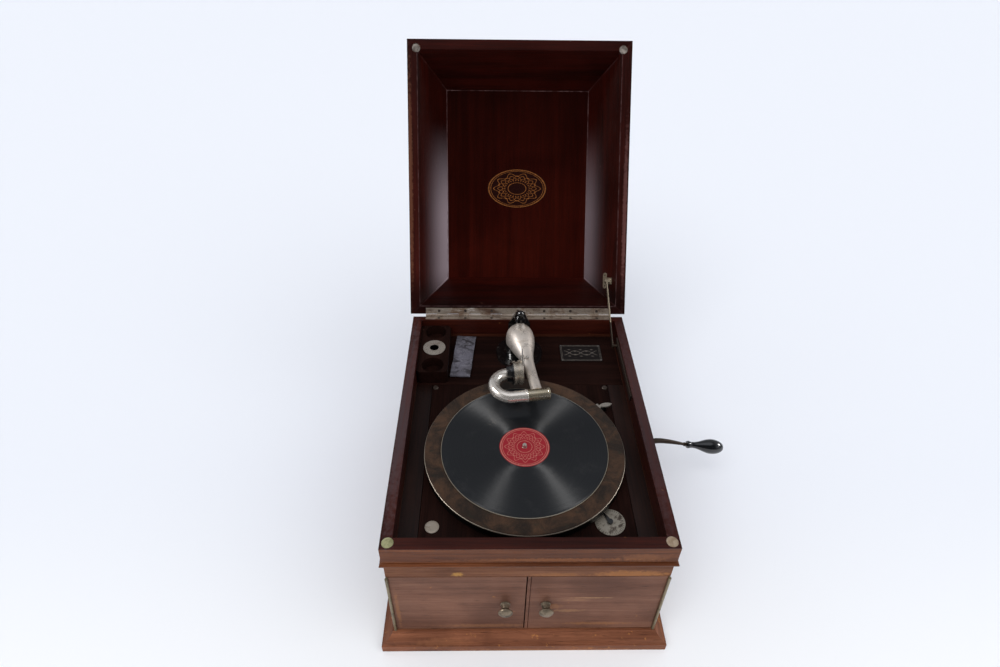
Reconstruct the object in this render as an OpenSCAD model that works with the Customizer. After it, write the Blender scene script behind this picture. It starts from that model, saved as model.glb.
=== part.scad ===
// Tabletop gramophone with an internal horn behind two doors and a coved lid.
// The origin is the centre of the base's underside. +Z is up and the doors face -Y.
// Every piece stands at its rest place: lid open on its stay, doors shut, and the
// soundbox thrown back over the tonearm.

/* [Case] */
// Width across the rim
case_w = 392; // [384:1:420]
// Depth over the rim
case_d = 486; // [480:1:520]
// Height of the rim's top above the floor
case_h = 248; // [240:1:270]
// Thickness of the rim's side boards
rim_t = 16; // [14:0.5:18]
// Thickness of the rim's front board
rim_front_t = 17; // [14:0.5:19]
// Thickness of the back panel
back_t = 12; // [10:0.5:16]
// Height of the rim band
rim_h = 32; // [26:1:36]
// Height of the bead under the rim band
bead_h = 8; // [6:0.5:10]
// How far the bead stands out from the rim
bead_out = 3; // [2:0.5:4]
// Height of the groove between rim and bead
groove_h = 1.5; // [1:0.25:2]
// How far the walls stand in from the rim
wall_step = 1.5; // [1:0.25:2.5]
// Radius of the felt pads on the front corners
pad_r = 8; // [6:0.25:8.5]
// How deep a pad is let in
pad_sunk = 2.6; // [2:0.1:4]
// How far a pad stands proud
pad_proud = 0.4; // [0.2:0.05:0.45]

/* [Base] */
// Thickness of the bottom board
base_t = 12; // [9:0.5:16]
// Height of the plinth moulding
plinth_h = 30; // [27:0.5:34]
// How far the plinth stands out from the rim
plinth_out = 18; // [15:0.5:22]
// Height of the plinth's flat foot
foot_h = 15; // [12:0.5:17]
// Width of the fillet above the plinth's cove
fillet_w = 4; // [3:0.5:6]

/* [Doors] */
// Height of a door
door_h = 146; // [140:0.5:146]
// Thickness of a door
door_t = 18; // [16:0.5:20]
// Height of the doors' lower edge
door_z = 31; // [31:0.25:33]
// Gap round a door
door_gap = 0.8; // [0.5:0.1:1.2]
// Gap between the doors' meeting edges
meet_gap = 1.4; // [1.2:0.1:2]
// Where the doors meet, to the right of the middle
door_meet = -1.3; // [-3:0.1:3]
// Width of the bead on the meeting edge
astragal_w = 5; // [4:0.25:7]
// Length of a door knob
knob_len = 18; // [14:0.5:22]
// Radius of a door knob's head
knob_r = 10.6; // [8:0.2:12]
// Radius of a knob's neck
knob_neck_r = 5.2; // [3.5:0.1:6]
// Distance from the meeting edges to a knob
knob_in = 29; // [22:0.5:40]
// Number of knuckles in a door hinge
door_knuckles = 9; // [5:2:13]

/* [Lid] */
// Width of the lid
lid_w = 403; // [400:1:406]
// How far the lid hangs over the rim in front
lid_over = 5; // [3:0.5:7]
// Gap between the closed lid and the rim
lid_gap = 1; // [1:0.1:1.6]
// Width of the lid's flat edge
lid_border = 17.5; // [16:0.5:22]
// Distance from the lid's outside to its flat panel
lid_inset = 65; // [60:0.5:70]
// Depth of the lid inside
lid_in_h = 82; // [78:0.5:90]
// Height of the lid's upright outside
lid_skirt = 42; // [38:0.5:46]
// Radius of the lid's cove
cove_r = 42; // [38:0.5:46]
// Thickness of the lid's top panel
lid_panel_t = 12; // [9:0.5:16]
// How far the lid stands open, from closed
lid_open = 121.9; // [100:0.1:125]
// Length of the lid hinge
lid_hinge_len = 346; // [330:1:350]
// Number of knuckles in the lid hinge
lid_knuckles = 17; // [9:2:21]
// Number of screws in each lid hinge leaf
lid_screws = 7; // [4:1:8]

/* [Hinges] */
// Thickness of a hinge leaf
leaf_t = 1.2; // [1:0.05:1.4]
// Outer radius of a lid hinge knuckle
lid_kr = 2.7; // [2.5:0.05:2.8]
// Radius of the lid hinge pin
lid_pin_r = 1.3; // [1.1:0.05:1.5]
// Outer radius of a door hinge knuckle
door_kr = 2.1; // [1.9:0.05:2.15]
// Radius of a door hinge pin
door_pin_r = 1; // [0.8:0.05:1.1]
// Radial play of a turning fit
run_fit = 0.05; // [0.02:0.01:0.09]

/* [Lid stay] */
// Distance of the stay's pivot from the lid's back
stay_v = 62; // [55:0.5:70]
// Height of the stay's pivot inside the lid
stay_lift = 15; // [12:0.5:20]
// Length of the stay between pivot and foot
stay_len = 136; // [128:1:140]
// Angle of the stay at rest, below level
stay_angle = 24.4; // [20:0.1:28]
// Width of the stay's bar
stay_w = 8; // [6:0.5:10]
// Thickness of the stay's bar
stay_t = 2; // [1.5:0.1:2.5]

/* [Decks] */
// Depth of the decks below the rim
deck_drop = 38; // [34:0.5:40]
// Thickness of the rear deck
deck_t = 10; // [8:0.5:14]
// Thickness of the motor board
board_t = 12; // [10:0.5:14]
// Width of the motor board
board_w = 303; // [300:1:308]
// Distance from the front of the rim to the board's rear edge
board_back = 341.5; // [338:0.5:344]
// Gap round the motor board
board_gap = 0.8; // [0.4:0.1:1.5]
// Radius of the cap on the board
cap_r = 10; // [7:0.5:12]

/* [Turntable] */
// Radius of the turntable
platter_r = 152.4; // [150:0.1:154]
// Radius of the record
record_r = 127; // [100:0.5:150]
// Thickness of the record
record_t = 2; // [1.5:0.1:3]
// Thickness of the felt
felt_t = 1.5; // [1:0.1:2]
// Height of the turntable's rim
platter_h = 13; // [10:0.5:15]
// Thickness of the turntable's metal
platter_t = 3; // [2:0.25:4]
// How far the record lies below the rim
record_drop = 12.5; // [10:0.25:14]
// Radius of the spindle
spindle_r = 3.6; // [3.4:0.05:3.8]
// How much slimmer the spindle is above the record
tip_step = 0.3; // [0.2:0.05:0.6]
// How far the spindle stands above the record
spindle_up = 6; // [4:0.5:8]
// Distance from the front of the rim to the spindle
spindle_back = 181; // [178:0.5:184]

/* [Tonearm] */
// Place of the tonearm's pivot to the right of the middle
pivot_x = 1; // [-4:0.5:4]
// Distance from the front of the rim to the pivot
pivot_back = 424; // [420:0.5:428]
// Length of the tonearm from pivot to crosspiece
arm_len = 163.5; // [158:0.5:168]
// Height of the crosspiece above the decks
arm_h = 56; // [54:0.5:60]
// How far the parked tonearm is swung to the right
arm_rest = 8; // [2:0.5:12]
// Radius of the tonearm's bell
bell_r = 28; // [26:0.5:29]
// Radius of the tonearm's front end
arm_tip_r = 8.6; // [8:0.1:9.2]
// Half length of the crosspiece
cross_l = 18.6; // [17:0.2:21]
// Outer radius of the crosspiece
cross_r = 9.6; // [9.3:0.1:10.5]
// Radius of the gooseneck tube
tube_r = 9.2; // [8.5:0.1:9.5]
// Wall of the arm and gooseneck tubes
tube_t = 2; // [1.5:0.1:2.4]
// Radius of the gooseneck's bend
bend_r = 27.25; // [26:0.25:29]
// Straight length of the gooseneck before its bend
neck_l = 20.4; // [18:0.2:24]
// Radius of the soundbox
box_r = 20; // [18:0.25:23]
// Thickness of the soundbox
box_t = 15; // [12:0.5:17]
// Length from the soundbox's middle to the needle's point
needle_reach = 42; // [41:0.1:43]
// Angle of the needle to the record in play
needle_slope = 60; // [58:0.5:64]
// Gap left between the lowered needle and the record
needle_gap = 0.4; // [0.3:0.05:1]

/* [Crank] */
// Height of the crank shaft
crank_z = 133; // [131:0.5:135]
// Distance from the front of the rim to the crank shaft
crank_back = 207; // [205:0.5:209]
// Radius of the crank's throw
crank_throw = 108; // [100:1:114]
// Angle of the parked crank, from level at the back
crank_angle = -19.1; // [-45:0.1:0]
// How far the crank reaches out from the side
crank_out = 98.5; // [90:0.5:104]
// Radius of the crank shaft
crank_r = 5; // [4.5:0.1:5.5]
// Length of the crank handle
handle_l = 70; // [60:1:80]
// Radius of the handle's bulb
handle_r = 13.6; // [11:0.2:14]
// Droop of the crank's outer end
crank_droop = 7.3; // [0:0.1:10]

/* [Horn] */
// Wall of the wooden horn
horn_t = 6; // [5:0.5:8]
// Outer radius of the iron elbow
elbow_r = 22; // [20:0.5:24]
// Wall of the iron elbow
elbow_t = 3.5; // [3:0.25:5]
// Height of the horn's throat
throat_z = 78; // [74:1:82]

/* [Hidden] */
$fn = 64;
eps = 0.01;

// Case planes
front_y = -case_d / 2;
back_y = case_d / 2;
in_x = case_w / 2 - rim_t;
out_x = case_w / 2 - wall_step;
wall_front_y = front_y + wall_step;
side_y0 = wall_front_y + door_t + 0.5;
side_y1 = back_y - back_t;
rim_z = case_h - rim_h;
rail_z = door_z + door_h + door_gap;
sill_z = door_z - door_gap + 0.2;

// Deck planes
deck_z = case_h - deck_drop;
board_y1 = front_y + board_back;
board_y0 = side_y0 + board_gap;
lip_w = 12;
lip_h = 10;
screw_r = 5;
screw_in = 5;

// Felt pads
pad_x = case_w / 2 - 10.5;
pad_y = front_y + 10;

// Hinges
lid_hinge_y = back_y + 3;
lid_hinge_z = case_h + lid_gap / 2;
case_leaf_w = 11;
lid_leaf_w = 14;
lid_screw_v = 8.5;
case_screw_v = 7;
knuckle_gap = 0.3;
web_gap = 0.3;
door_hinge_x = out_x - leaf_t - 0.1;
door_hinge_y = wall_front_y - 1.8;
door_leaf_w = door_t + 1;
side_leaf_w = door_t + 20;
door_hinge_h = door_h - 2;
door_edge_x = door_hinge_x - 0.1 - leaf_t;

// Lid planes
lid_z = case_h + lid_gap;
lid_len = case_d + lid_over;
lid_y = back_y - lid_len / 2;
panel_w = lid_w - 2 * lid_inset;
panel_d = lid_len - 2 * lid_inset;
cove_u = lid_inset - 7;
cove_z = lid_skirt + 4 + cove_r;
cove_top_u = cove_u - sqrt(cove_r * cove_r - (lid_in_h - cove_z) * (lid_in_h - cove_z));

// Turntable heights
spindle_y = front_y + spindle_back;
record_z = case_h - record_drop;
felt_z = record_z - record_t - felt_t;
platter_z = felt_z - platter_h;
hub_r = 14;

// Tonearm places, in the arm's own frame: pivot at the origin and arm along -Y
pivot_y = front_y + pivot_back;
arm_z = deck_z + arm_h;
bell_z = deck_z + 14;
flange_r = 42;
arm_root_r = 24.5;
flange_h = 6;
boss_r = 23;
acorn_r = 6.5;
yoke_z = deck_z + 87;
elbow_z = bell_z + 26;
neck_r = 6;
box_x = -cross_l - 0.3 - neck_l;
box_y = -arm_len + 2 * bend_r;
flange_t = 5;
collar_l = 6;
shell_x0 = box_x + 3 + flange_t;
needle_x = shell_x0 + box_t + 2;
// Height of the soundbox's middle over the record in play, and the travel that gives it
play_rise = needle_reach * sin(needle_slope) + needle_gap + record_z - arm_z;
play_angle = 180 - asin(play_rise / (2 * bend_r));
// Direction of the needle at rest, as an angle about the crosspiece
needle_rest = 180 + needle_slope - play_angle;

// Motor places
plate_t = 4;
motor_top = deck_z - board_t - 10;
motor_low = 118;
motor_x0 = -100;
motor_x1 = 62;
motor_y0 = spindle_y - 56;
motor_y1 = spindle_y + 76;
post_in = 7;
post_r = 4;
barrel_r = 36;
drum_gear_r = 44;
pinion_r = 13.6;
mesh_gap = 0.4;
crank_y = front_y + crank_back;
barrel_x = -sqrt(pow(drum_gear_r + pinion_r + mesh_gap, 2) - pow(crank_y - spindle_y, 2));
gear_z = 150;
worm_wheel_r = 18;
worm_z = 161;
worm_r = 4.5;
gov_y = spindle_y - worm_wheel_r - worm_r - mesh_gap;
wind_wheel_r = 26;
bevel_r = 8.6;

// Crank places
crank_x0 = out_x + 10.5;
droop_run = 52;
crank_bow = 9;
crank_end = [crank_x0 + crank_out,
    crank_y + crank_throw * cos(crank_angle),
    crank_z + crank_throw * sin(crank_angle) - droop_run * tan(crank_droop)];
axle_r = 3;
bush_r = 9;

// Rounded upright box, centred in plan, standing on z = 0
module rounded_box(w, d, h, r) {
    translate([-w / 2 + r, -d / 2, 0]) cube([w - 2 * r, d, h]);
    translate([-w / 2, -d / 2 + r, 0]) cube([w, d - 2 * r, h]);
    for (sx = [-1, 1], sy = [-1, 1])
        translate([sx * (w / 2 - r), sy * (d / 2 - r), 0]) cylinder(h = h, r = r);
}

// Round bar from p to q, with a radius at each end
module rod(p, q, ra, rb) {
    v = q - p;
    translate(p) rotate([0, acos(v[2] / norm(v)), atan2(v[1], v[0])])
        cylinder(h = norm(v), r1 = ra, r2 = rb);
}

// Mitred frame round a w by d opening. The child is a profile: x outwards, y up.
module mitred_ring(w, d, out, h, sides = [0, 1, 2, 3]) {
    for (k = sides) {
        run = (k % 2 == 0) ? w : d;
        off = (k % 2 == 0) ? d / 2 : w / 2;
        rotate([0, 0, 90 * k]) translate([0, -off, 0]) intersection() {
            translate([run / 2 + out, 0, 0]) rotate([90, 0, -90])
                linear_extrude(run + 2 * out) children();
            translate([0, 0, -1]) linear_extrude(h + 2)
                polygon([[-run / 2, 0], [run / 2, 0], [run / 2 + out, -out], [-run / 2 - out, -out]]);
        }
    }
}

// One leaf of a long hinge. The pin runs up z, and the leaf lies along +y from x0.
module hinge_leaf(len, n, odd, kr, pin_r, x0, w) {
    seg = len / n;
    difference() {
        union() {
            translate([x0, kr + web_gap, 0]) cube([leaf_t, w - kr - web_gap, len]);
            for (i = [odd : 2 : n - 1]) translate([0, 0, i * seg + knuckle_gap / 2]) {
                cylinder(h = seg - knuckle_gap, r = kr);
                translate([x0, 0, 0]) cube([leaf_t, kr + 2 * web_gap, seg - knuckle_gap]);
            }
        }
        translate([0, 0, -1]) cylinder(h = len + 2, r = pin_r + run_fit);
    }
}

// Turns the pin of a hinge leaf from upright to along x, with the leaf to the front
module lie_along_x() {
    rotate([180, 0, 0]) rotate([0, 90, 0]) children();
}

// Swings a piece from the closed lid to its rest place
module lid_pose() {
    translate([0, lid_hinge_y, lid_hinge_z]) rotate([-lid_open, 0, 0])
        translate([0, -lid_hinge_y, -lid_hinge_z]) children();
}

// Puts a piece from the arm's own frame to its rest place
module arm_pose() {
    translate([pivot_x, pivot_y, 0]) rotate([0, 0, arm_rest]) children();
}

// Places of the screws along a lid hinge leaf
function lid_screw_x(i) = lid_hinge_len * ((i + 0.5) / lid_screws - 0.5);
screw_head_r = 2.6;
screw_shank_r = 1.5;
screw_len = 8;

module base_board() {
    color("saddlebrown") translate([-out_x, wall_front_y, 0])
        cube([2 * out_x, back_y - wall_front_y, base_t]);
}

module plinth_moulding() {
    reach = plinth_out + wall_step;
    cove = reach - fillet_w;
    wide = 2 * out_x;
    deep = back_y - wall_front_y;
    color("sienna") translate([0, (back_y + wall_front_y) / 2, 0])
        mitred_ring(wide, deep, reach, plinth_h) difference() {
            union() {
                square([reach, foot_h]);
                square([reach - 2, foot_h + 2]);
                square([fillet_w, plinth_h]);
                translate([0, foot_h]) square([reach - 2, plinth_h - foot_h - 3]);
            }
            translate([fillet_w + cove, foot_h + 2 + cove]) circle(r = cove);
            translate([fillet_w, plinth_h - 3]) square([cove, 4]);
        }
}

// Wall boards beside the doors' opening; the right one carries the crank's bush
module side_wall() {
    translate([in_x, side_y0, base_t]) cube([out_x - in_x, side_y1 - side_y0, rim_z - base_t]);
}

module leaf_recess() {
    translate([out_x - leaf_t - 0.1, side_y0 - 1, door_z])
        cube([leaf_t + 1, side_leaf_w - door_t + 1.5, door_h]);
}

module left_side() {
    color("sienna") mirror([1, 0, 0]) difference() {
        side_wall();
        leaf_recess();
    }
}

module right_side() {
    color("sienna") difference() {
        side_wall();
        leaf_recess();
        translate([in_x - 1, crank_y, crank_z]) rotate([0, 90, 0])
            cylinder(h = rim_t + 2, r = bush_r + run_fit);
    }
}

module back_panel() {
    color("sienna") translate([-out_x, side_y1, base_t])
        cube([2 * out_x, back_t, rim_z - base_t]);
}

module front_rails() {
    color("peru") {
        translate([-out_x, wall_front_y, rail_z])
            cube([2 * out_x, side_y0 - wall_front_y, rim_z - rail_z]);
        translate([-out_x, wall_front_y, base_t])
            cube([2 * out_x, side_y0 - wall_front_y, sill_z - base_t]);
    }
}

module rim_frame() {
    bead_reach = bead_out + wall_step;
    bead_z = rim_z - groove_h - bead_h;
    color("maroon") difference() {
        union() {
            translate([-case_w / 2, front_y, rim_z]) cube([case_w, case_d, rim_h]);
            translate([0, (back_y + wall_front_y) / 2, 0])
                mitred_ring(2 * out_x, back_y - wall_front_y, bead_reach, rim_z + 1, [0, 1, 3])
                    intersection() {
                        translate([bead_reach - bead_h / 2, bead_z + bead_h / 2]) circle(r = bead_h / 2);
                        translate([0, bead_z]) square([bead_reach, bead_h]);
                    }
            translate([-out_x - 1, wall_front_y - 1, bead_z + 1])
                cube([2 * out_x + 2, back_y - wall_front_y + 1, rim_z - bead_z]);
        }
        translate([-in_x, front_y + rim_front_t, bead_z - 1])
            cube([2 * in_x, side_y1 - front_y - rim_front_t, rim_h + 20]);
        translate([-out_x, wall_front_y, bead_z - 2])
            cube([2 * out_x, back_y - wall_front_y + 1, rim_z - bead_z + 2]);
        translate([-lid_hinge_len / 2 - 0.2, lid_hinge_y - case_leaf_w - 0.1, case_h - leaf_t])
            cube([lid_hinge_len + 0.4, case_leaf_w + 2, leaf_t + 1]);
        for (i = [0 : lid_screws - 1])
            translate([lid_screw_x(i), lid_hinge_y - case_screw_v, case_h - screw_len - 0.5])
                cylinder(h = screw_len, r = screw_shank_r + 0.1);
        for (s = [-1, 1]) translate([s * pad_x, pad_y, case_h - pad_sunk])
            cylinder(h = pad_sunk + 1, r = pad_r + 0.15);
    }
}

module corner_pads() {
    color("darkkhaki") for (s = [-1, 1])
        translate([s * pad_x, pad_y, case_h - pad_sunk]) cylinder(h = pad_sunk + pad_proud, r = pad_r);
}

// Square-ended taper between two upright rectangles [y, half width, z low, z high]
module taper(a, b) {
    polyhedron(
        points = [for (s = [a, b], c = [[-1, 2], [1, 2], [1, 3], [-1, 3]]) [c[0] * s[1], s[0], s[c[1]]]],
        faces = [[3, 2, 1, 0], [4, 5, 6, 7], [0, 1, 5, 4], [1, 2, 6, 5], [2, 3, 7, 6], [3, 0, 4, 7]]);
}

horn_y = [side_y0, motor_y0 - 12, 95];
throat_half = 30;
throat_in = elbow_r - elbow_t;

module horn() {
    a = [horn_y[0], in_x, sill_z - horn_t, rail_z + horn_t];
    b = [horn_y[1], 110, sill_z + 4, motor_low - 6];
    c = [horn_y[2], throat_half, throat_z - throat_half, throat_z + throat_half];
    ai = [horn_y[0] - 1, in_x - horn_t, sill_z, rail_z];
    am = [horn_y[0], in_x - horn_t, sill_z, rail_z];
    bi = [horn_y[1], 110 - horn_t, sill_z + 4 + horn_t, motor_low - 6 - horn_t];
    ci = [horn_y[2] + 1, throat_in - 2, throat_z - throat_in + 2, throat_z + throat_in - 2];
    color("burlywood") difference() {
        union() {
            taper(a, b);
            taper(b, c);
        }
        taper(ai, am);
        taper(am, bi);
        taper(bi, ci);
    }
}

module horn_elbow() {
    turn_r = 48;
    down_z = throat_z + turn_r;
    turn_y = pivot_y - turn_r;
    color("dimgray") translate([pivot_x, 0, 0]) {
        difference() {
            union() {
                translate([0, pivot_y, down_z])
                    cylinder(h = deck_z - deck_t - down_z, r = elbow_r);
                translate([0, pivot_y, deck_z - deck_t - 5]) cylinder(h = 5, r = 34);
            }
            translate([0, pivot_y, down_z - 1]) cylinder(h = deck_z, r = throat_in);
        }
        translate([0, turn_y, down_z]) rotate([0, 90, 0]) rotate_extrude(angle = 90)
            translate([turn_r, 0]) difference() {
                circle(r = elbow_r);
                circle(r = throat_in);
            }
        translate([0, horn_y[2], throat_z]) rotate([-90, 0, 0]) difference() {
            union() {
                cylinder(h = turn_y - horn_y[2], r = elbow_r);
                cylinder(h = 4, r = throat_half - 1);
            }
            translate([0, 0, -1]) cylinder(h = turn_y, r = throat_in);
        }
    }
}

module rear_deck() {
    color("saddlebrown") difference() {
        translate([-in_x, board_y1 + board_gap, deck_z - deck_t])
            cube([2 * in_x, side_y1 - board_y1 - board_gap, deck_t]);
        translate([pivot_x, pivot_y, deck_z - deck_t - 1]) cylinder(h = deck_t + 2, r = throat_in);
    }
}

// Screw places at the motor board's rear corners and along its front
board_screws_at = [
    [-board_w / 2 + screw_in, board_y1 - screw_in - 2],
    [board_w / 2 - screw_in, board_y1 - screw_in - 2],
    [-board_w / 2 + screw_in, board_y0 + 12],
    [board_w / 2 - screw_in, board_y0 + 12]];

module motor_board() {
    color("saddlebrown") difference() {
        translate([-board_w / 2, board_y0, deck_z - board_t])
            cube([board_w, board_y1 - board_y0, board_t]);
        translate([0, spindle_y, deck_z - board_t - 1]) cylinder(h = board_t + 2, r = 9);
        for (p = board_screws_at) translate([p[0], p[1], deck_z - board_t - 1])
            cylinder(h = board_t + 2, r = screw_shank_r + 0.1);
    }
}

module board_ledges() {
    color("brown") for (s = [0, 1]) mirror([s, 0, 0]) {
        translate([board_w / 2 + board_gap, board_y0, deck_z - board_t])
            cube([in_x - board_w / 2 - board_gap, board_y1 - board_y0, board_t]);
        difference() {
            translate([board_w / 2 - lip_w, board_y0, deck_z - board_t - lip_h])
                cube([in_x - board_w / 2 + lip_w, board_y1 - board_y0, lip_h]);
            for (y = [board_y1 - screw_in - 2, board_y0 + 12])
                translate([board_w / 2 - screw_in, y, deck_z - board_t - lip_h - 1])
                    cylinder(h = lip_h + 2, r = screw_shank_r + 0.1);
        }
    }
}

module board_screws() {
    color("silver") for (p = board_screws_at) translate([p[0], p[1], 0]) difference() {
        union() {
            translate([0, 0, deck_z]) cylinder(h = 1.8, r1 = screw_r, r2 = screw_r - 1.2);
            translate([0, 0, deck_z - board_t - 5]) cylinder(h = board_t + 5, r = screw_shank_r);
        }
        translate([-screw_r, -0.4, deck_z + 1]) cube([2 * screw_r, 0.8, 2]);
    }
}

cap_x = -133.4;
cap_y = front_y + 57.6;

module board_cap() {
    color("gainsboro") translate([cap_x, cap_y, deck_z]) {
        cylinder(h = 1.2, r = cap_r);
        translate([0, 0, 1.2]) cylinder(h = 1, r1 = cap_r - 0.6, r2 = cap_r - 3);
    }
}

// Needle cups against the left wall
cup_h = 26;
cup_r = 19;
cup_deep = 20;
cup_step = 45;
cup_block_w = 54;
cup_block_x = -in_x + cup_block_w / 2;
cup_block_y = front_y + 410;
cup_x = cup_block_x + 0.5;
cup_flange = 19.8;

module needle_cup_block() {
    color("maroon") difference() {
        translate([cup_block_x, cup_block_y, deck_z])
            rounded_box(cup_block_w, 2 * cup_step + 2 * cup_r, cup_h, 8);
        for (k = [-1, 0, 1])
            translate([cup_x, cup_block_y + k * cup_step, deck_z + cup_h - cup_deep])
                cylinder(h = cup_deep + 1, r = (k == 0) ? cup_r - 0.6 : cup_r);
    }
}

module needle_cup() {
    color("silver") translate([cup_x, cup_block_y, deck_z + cup_h]) difference() {
        union() {
            cylinder(h = 1.3, r = cup_flange);
            translate([0, 0, -cup_deep]) cylinder(h = cup_deep, r = cup_r - 0.9);
        }
        translate([0, 0, -cup_deep + 1]) cylinder(h = cup_deep - 1.5, r = cup_r - 2.2);
        translate([0, 0, -1]) cylinder(h = 3, r = 8);
    }
}

plate_at = [115, front_y + 425.5];
plate_size = [76, 45, 1];

module nameplate() {
    color("black") translate([plate_at[0], plate_at[1], deck_z]) {
        rounded_box(plate_size[0], plate_size[1], plate_size[2], 2);
        for (s = [-1, 1]) translate([s * (plate_size[0] / 2 - 3.5), 0, plate_size[2]])
            cylinder(h = 0.6, r = 1.1);
    }
}

packet_at = [-101, front_y + 415];
packet_size = [38, 112, 5];
packet_turn = -4.5;

module needle_packet() {
    color("lightsteelblue") translate([packet_at[0], packet_at[1], deck_z])
        rotate([0, 0, packet_turn]) {
            translate([-packet_size[0] / 2, -packet_size[1] / 2, 0])
                cube([packet_size[0], packet_size[1], 1.4]);
            translate([0, 0, 1.4]) rounded_box(packet_size[0] - 6, packet_size[1] - 14, 3.6, 6);
        }
}

module lid_hinge_case_leaf() {
    color("silver") difference() {
        translate([-lid_hinge_len / 2, lid_hinge_y, lid_hinge_z]) lie_along_x()
            hinge_leaf(lid_hinge_len, lid_knuckles, 0, lid_kr, lid_pin_r,
                -lid_gap / 2 - leaf_t, case_leaf_w);
        for (i = [0 : lid_screws - 1]) translate([lid_screw_x(i), lid_hinge_y - case_screw_v, case_h - 3])
            cylinder(h = 5, r = screw_head_r + 0.1);
    }
}

module lid_hinge_pin() {
    color("gray") translate([-lid_hinge_len / 2, lid_hinge_y, lid_hinge_z]) rotate([0, 90, 0])
        cylinder(h = lid_hinge_len, r = lid_pin_r);
}

module lid_hinge_leaf() {
    color("silver") lid_pose() difference() {
        translate([-lid_hinge_len / 2, lid_hinge_y, lid_hinge_z]) lie_along_x()
            hinge_leaf(lid_hinge_len, lid_knuckles, 1, lid_kr, lid_pin_r, lid_gap / 2, lid_leaf_w);
        for (i = [0 : lid_screws - 1]) translate([lid_screw_x(i), lid_hinge_y - lid_screw_v, lid_z - 1])
            cylinder(h = 5, r = screw_head_r + 0.1);
    }
}

// Flat-headed screw whose head lies at z = 0 and whose shank runs up z
module leaf_screw() {
    difference() {
        union() {
            cylinder(h = leaf_t, r = screw_head_r);
            cylinder(h = screw_len, r = screw_shank_r);
        }
        translate([-screw_head_r, -0.35, -eps]) cube([2 * screw_head_r, 0.7, 0.5]);
    }
}

module lid_hinge_screws() {
    color("gray") lid_pose() for (i = [0 : lid_screws - 1])
        translate([lid_screw_x(i), lid_hinge_y - lid_screw_v, lid_z]) leaf_screw();
}

module case_hinge_screws() {
    color("gray") for (i = [0 : lid_screws - 1])
        translate([lid_screw_x(i), lid_hinge_y - case_screw_v, case_h]) mirror([0, 0, 1]) leaf_screw();
}

module lid_frame() {
    color("maroon") lid_pose() difference() {
        translate([0, lid_y, lid_z]) mitred_ring(panel_w, panel_d, lid_inset, lid_in_h) difference() {
            polygon([[lid_inset - lid_border, 0], [lid_inset, 0], [lid_inset, lid_skirt],
                [lid_inset - 3, lid_skirt + 4], [cove_u, lid_skirt + 4],
                [cove_top_u, lid_in_h], [0, lid_in_h]]);
            translate([cove_u, cove_z]) circle(r = cove_r);
        }
        translate([-lid_hinge_len / 2 - 0.2, lid_hinge_y - lid_leaf_w - 0.1, lid_z - 1])
            cube([lid_hinge_len + 0.4, lid_leaf_w + 2, leaf_t + 1]);
        for (i = [0 : lid_screws - 1]) translate([lid_screw_x(i), lid_hinge_y - lid_screw_v, lid_z])
            cylinder(h = screw_len + 1, r = screw_shank_r + 0.1);
        for (s = [-1, 1]) translate([s * pad_x, pad_y, lid_z - 1])
            cylinder(h = pad_sunk + 1, r = pad_r + 0.15);
    }
}

module lid_panel() {
    color("maroon") lid_pose()
        translate([-panel_w / 2 - cove_top_u, lid_y - panel_d / 2 - cove_top_u, lid_z + lid_in_h])
            cube([panel_w + 2 * cove_top_u, panel_d + 2 * cove_top_u, lid_panel_t]);
}

module lid_pads() {
    color("tan") lid_pose() for (s = [-1, 1])
        translate([s * pad_x, pad_y, lid_z - pad_proud]) cylinder(h = pad_sunk + pad_proud, r = pad_r);
}

// Lid stay on the right: its pivot in the closed lid, then at rest
stay_in = 11.5;
stay_x = min(lid_w / 2 - lid_border - stay_in - 4, in_x - stay_in);
pivot_closed = [0, back_y - stay_v - lid_hinge_y, lid_z + stay_lift - lid_hinge_z];
pivot_open = [stay_x,
    lid_hinge_y + pivot_closed[1] * cos(lid_open) + pivot_closed[2] * sin(lid_open),
    lid_hinge_z - pivot_closed[1] * sin(lid_open) + pivot_closed[2] * cos(lid_open)];
stay_pin_r = 2.5;
stay_gap = 0.3;
slope_x = lid_w / 2 - lid_border;
slope_turn = atan((lid_inset - lid_border) / lid_in_h);

module stay_bracket() {
    color("silver") lid_pose() {
        translate([slope_x, back_y - stay_v, lid_z]) rotate([0, -slope_turn, 0])
            translate([-2, 0, 0]) stay_plate();
        difference() {
            union() {
                translate([stay_x + stay_gap + stay_t / 2, back_y - stay_v, lid_z + stay_lift])
                    rotate([0, 90, 0]) cylinder(h = lid_w / 2 - stay_x - 23, r = 4);
                translate([stay_x + stay_gap + stay_t / 2, back_y - stay_v - 4, lid_z + stay_lift])
                    cube([lid_w / 2 - stay_x - 23, 8, 5]);
                translate([stay_x - stay_t / 2 - 2.5, back_y - stay_v, lid_z + stay_lift])
                    rotate([0, 90, 0]) cylinder(h = 6, r = stay_pin_r);
                translate([stay_x - stay_t / 2 - 2.8, back_y - stay_v, lid_z + stay_lift])
                    rotate([0, 90, 0]) cylinder(h = 2.5, r = 4);
            }
            translate([slope_x, back_y - stay_v - 20, lid_z]) rotate([0, -slope_turn, 0])
                translate([0, 0, -30]) cube([60, 40, 120]);
        }
    }
}

// Thin plate of the stay's bracket, flat on the lid's sloping side
module stay_plate() {
    difference() {
        union() {
            translate([0, -6, 12]) cube([2, 12, 18]);
            translate([0, -10, 26]) cube([2, 20, 10]);
            for (y = [-10, 10]) translate([0, y, 31]) rotate([0, 90, 0]) cylinder(h = 2, r = 5);
        }
        for (y = [-10, 10]) translate([-1, y, 31]) rotate([0, 90, 0]) cylinder(h = 5, r = 1.6);
    }
}

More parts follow.
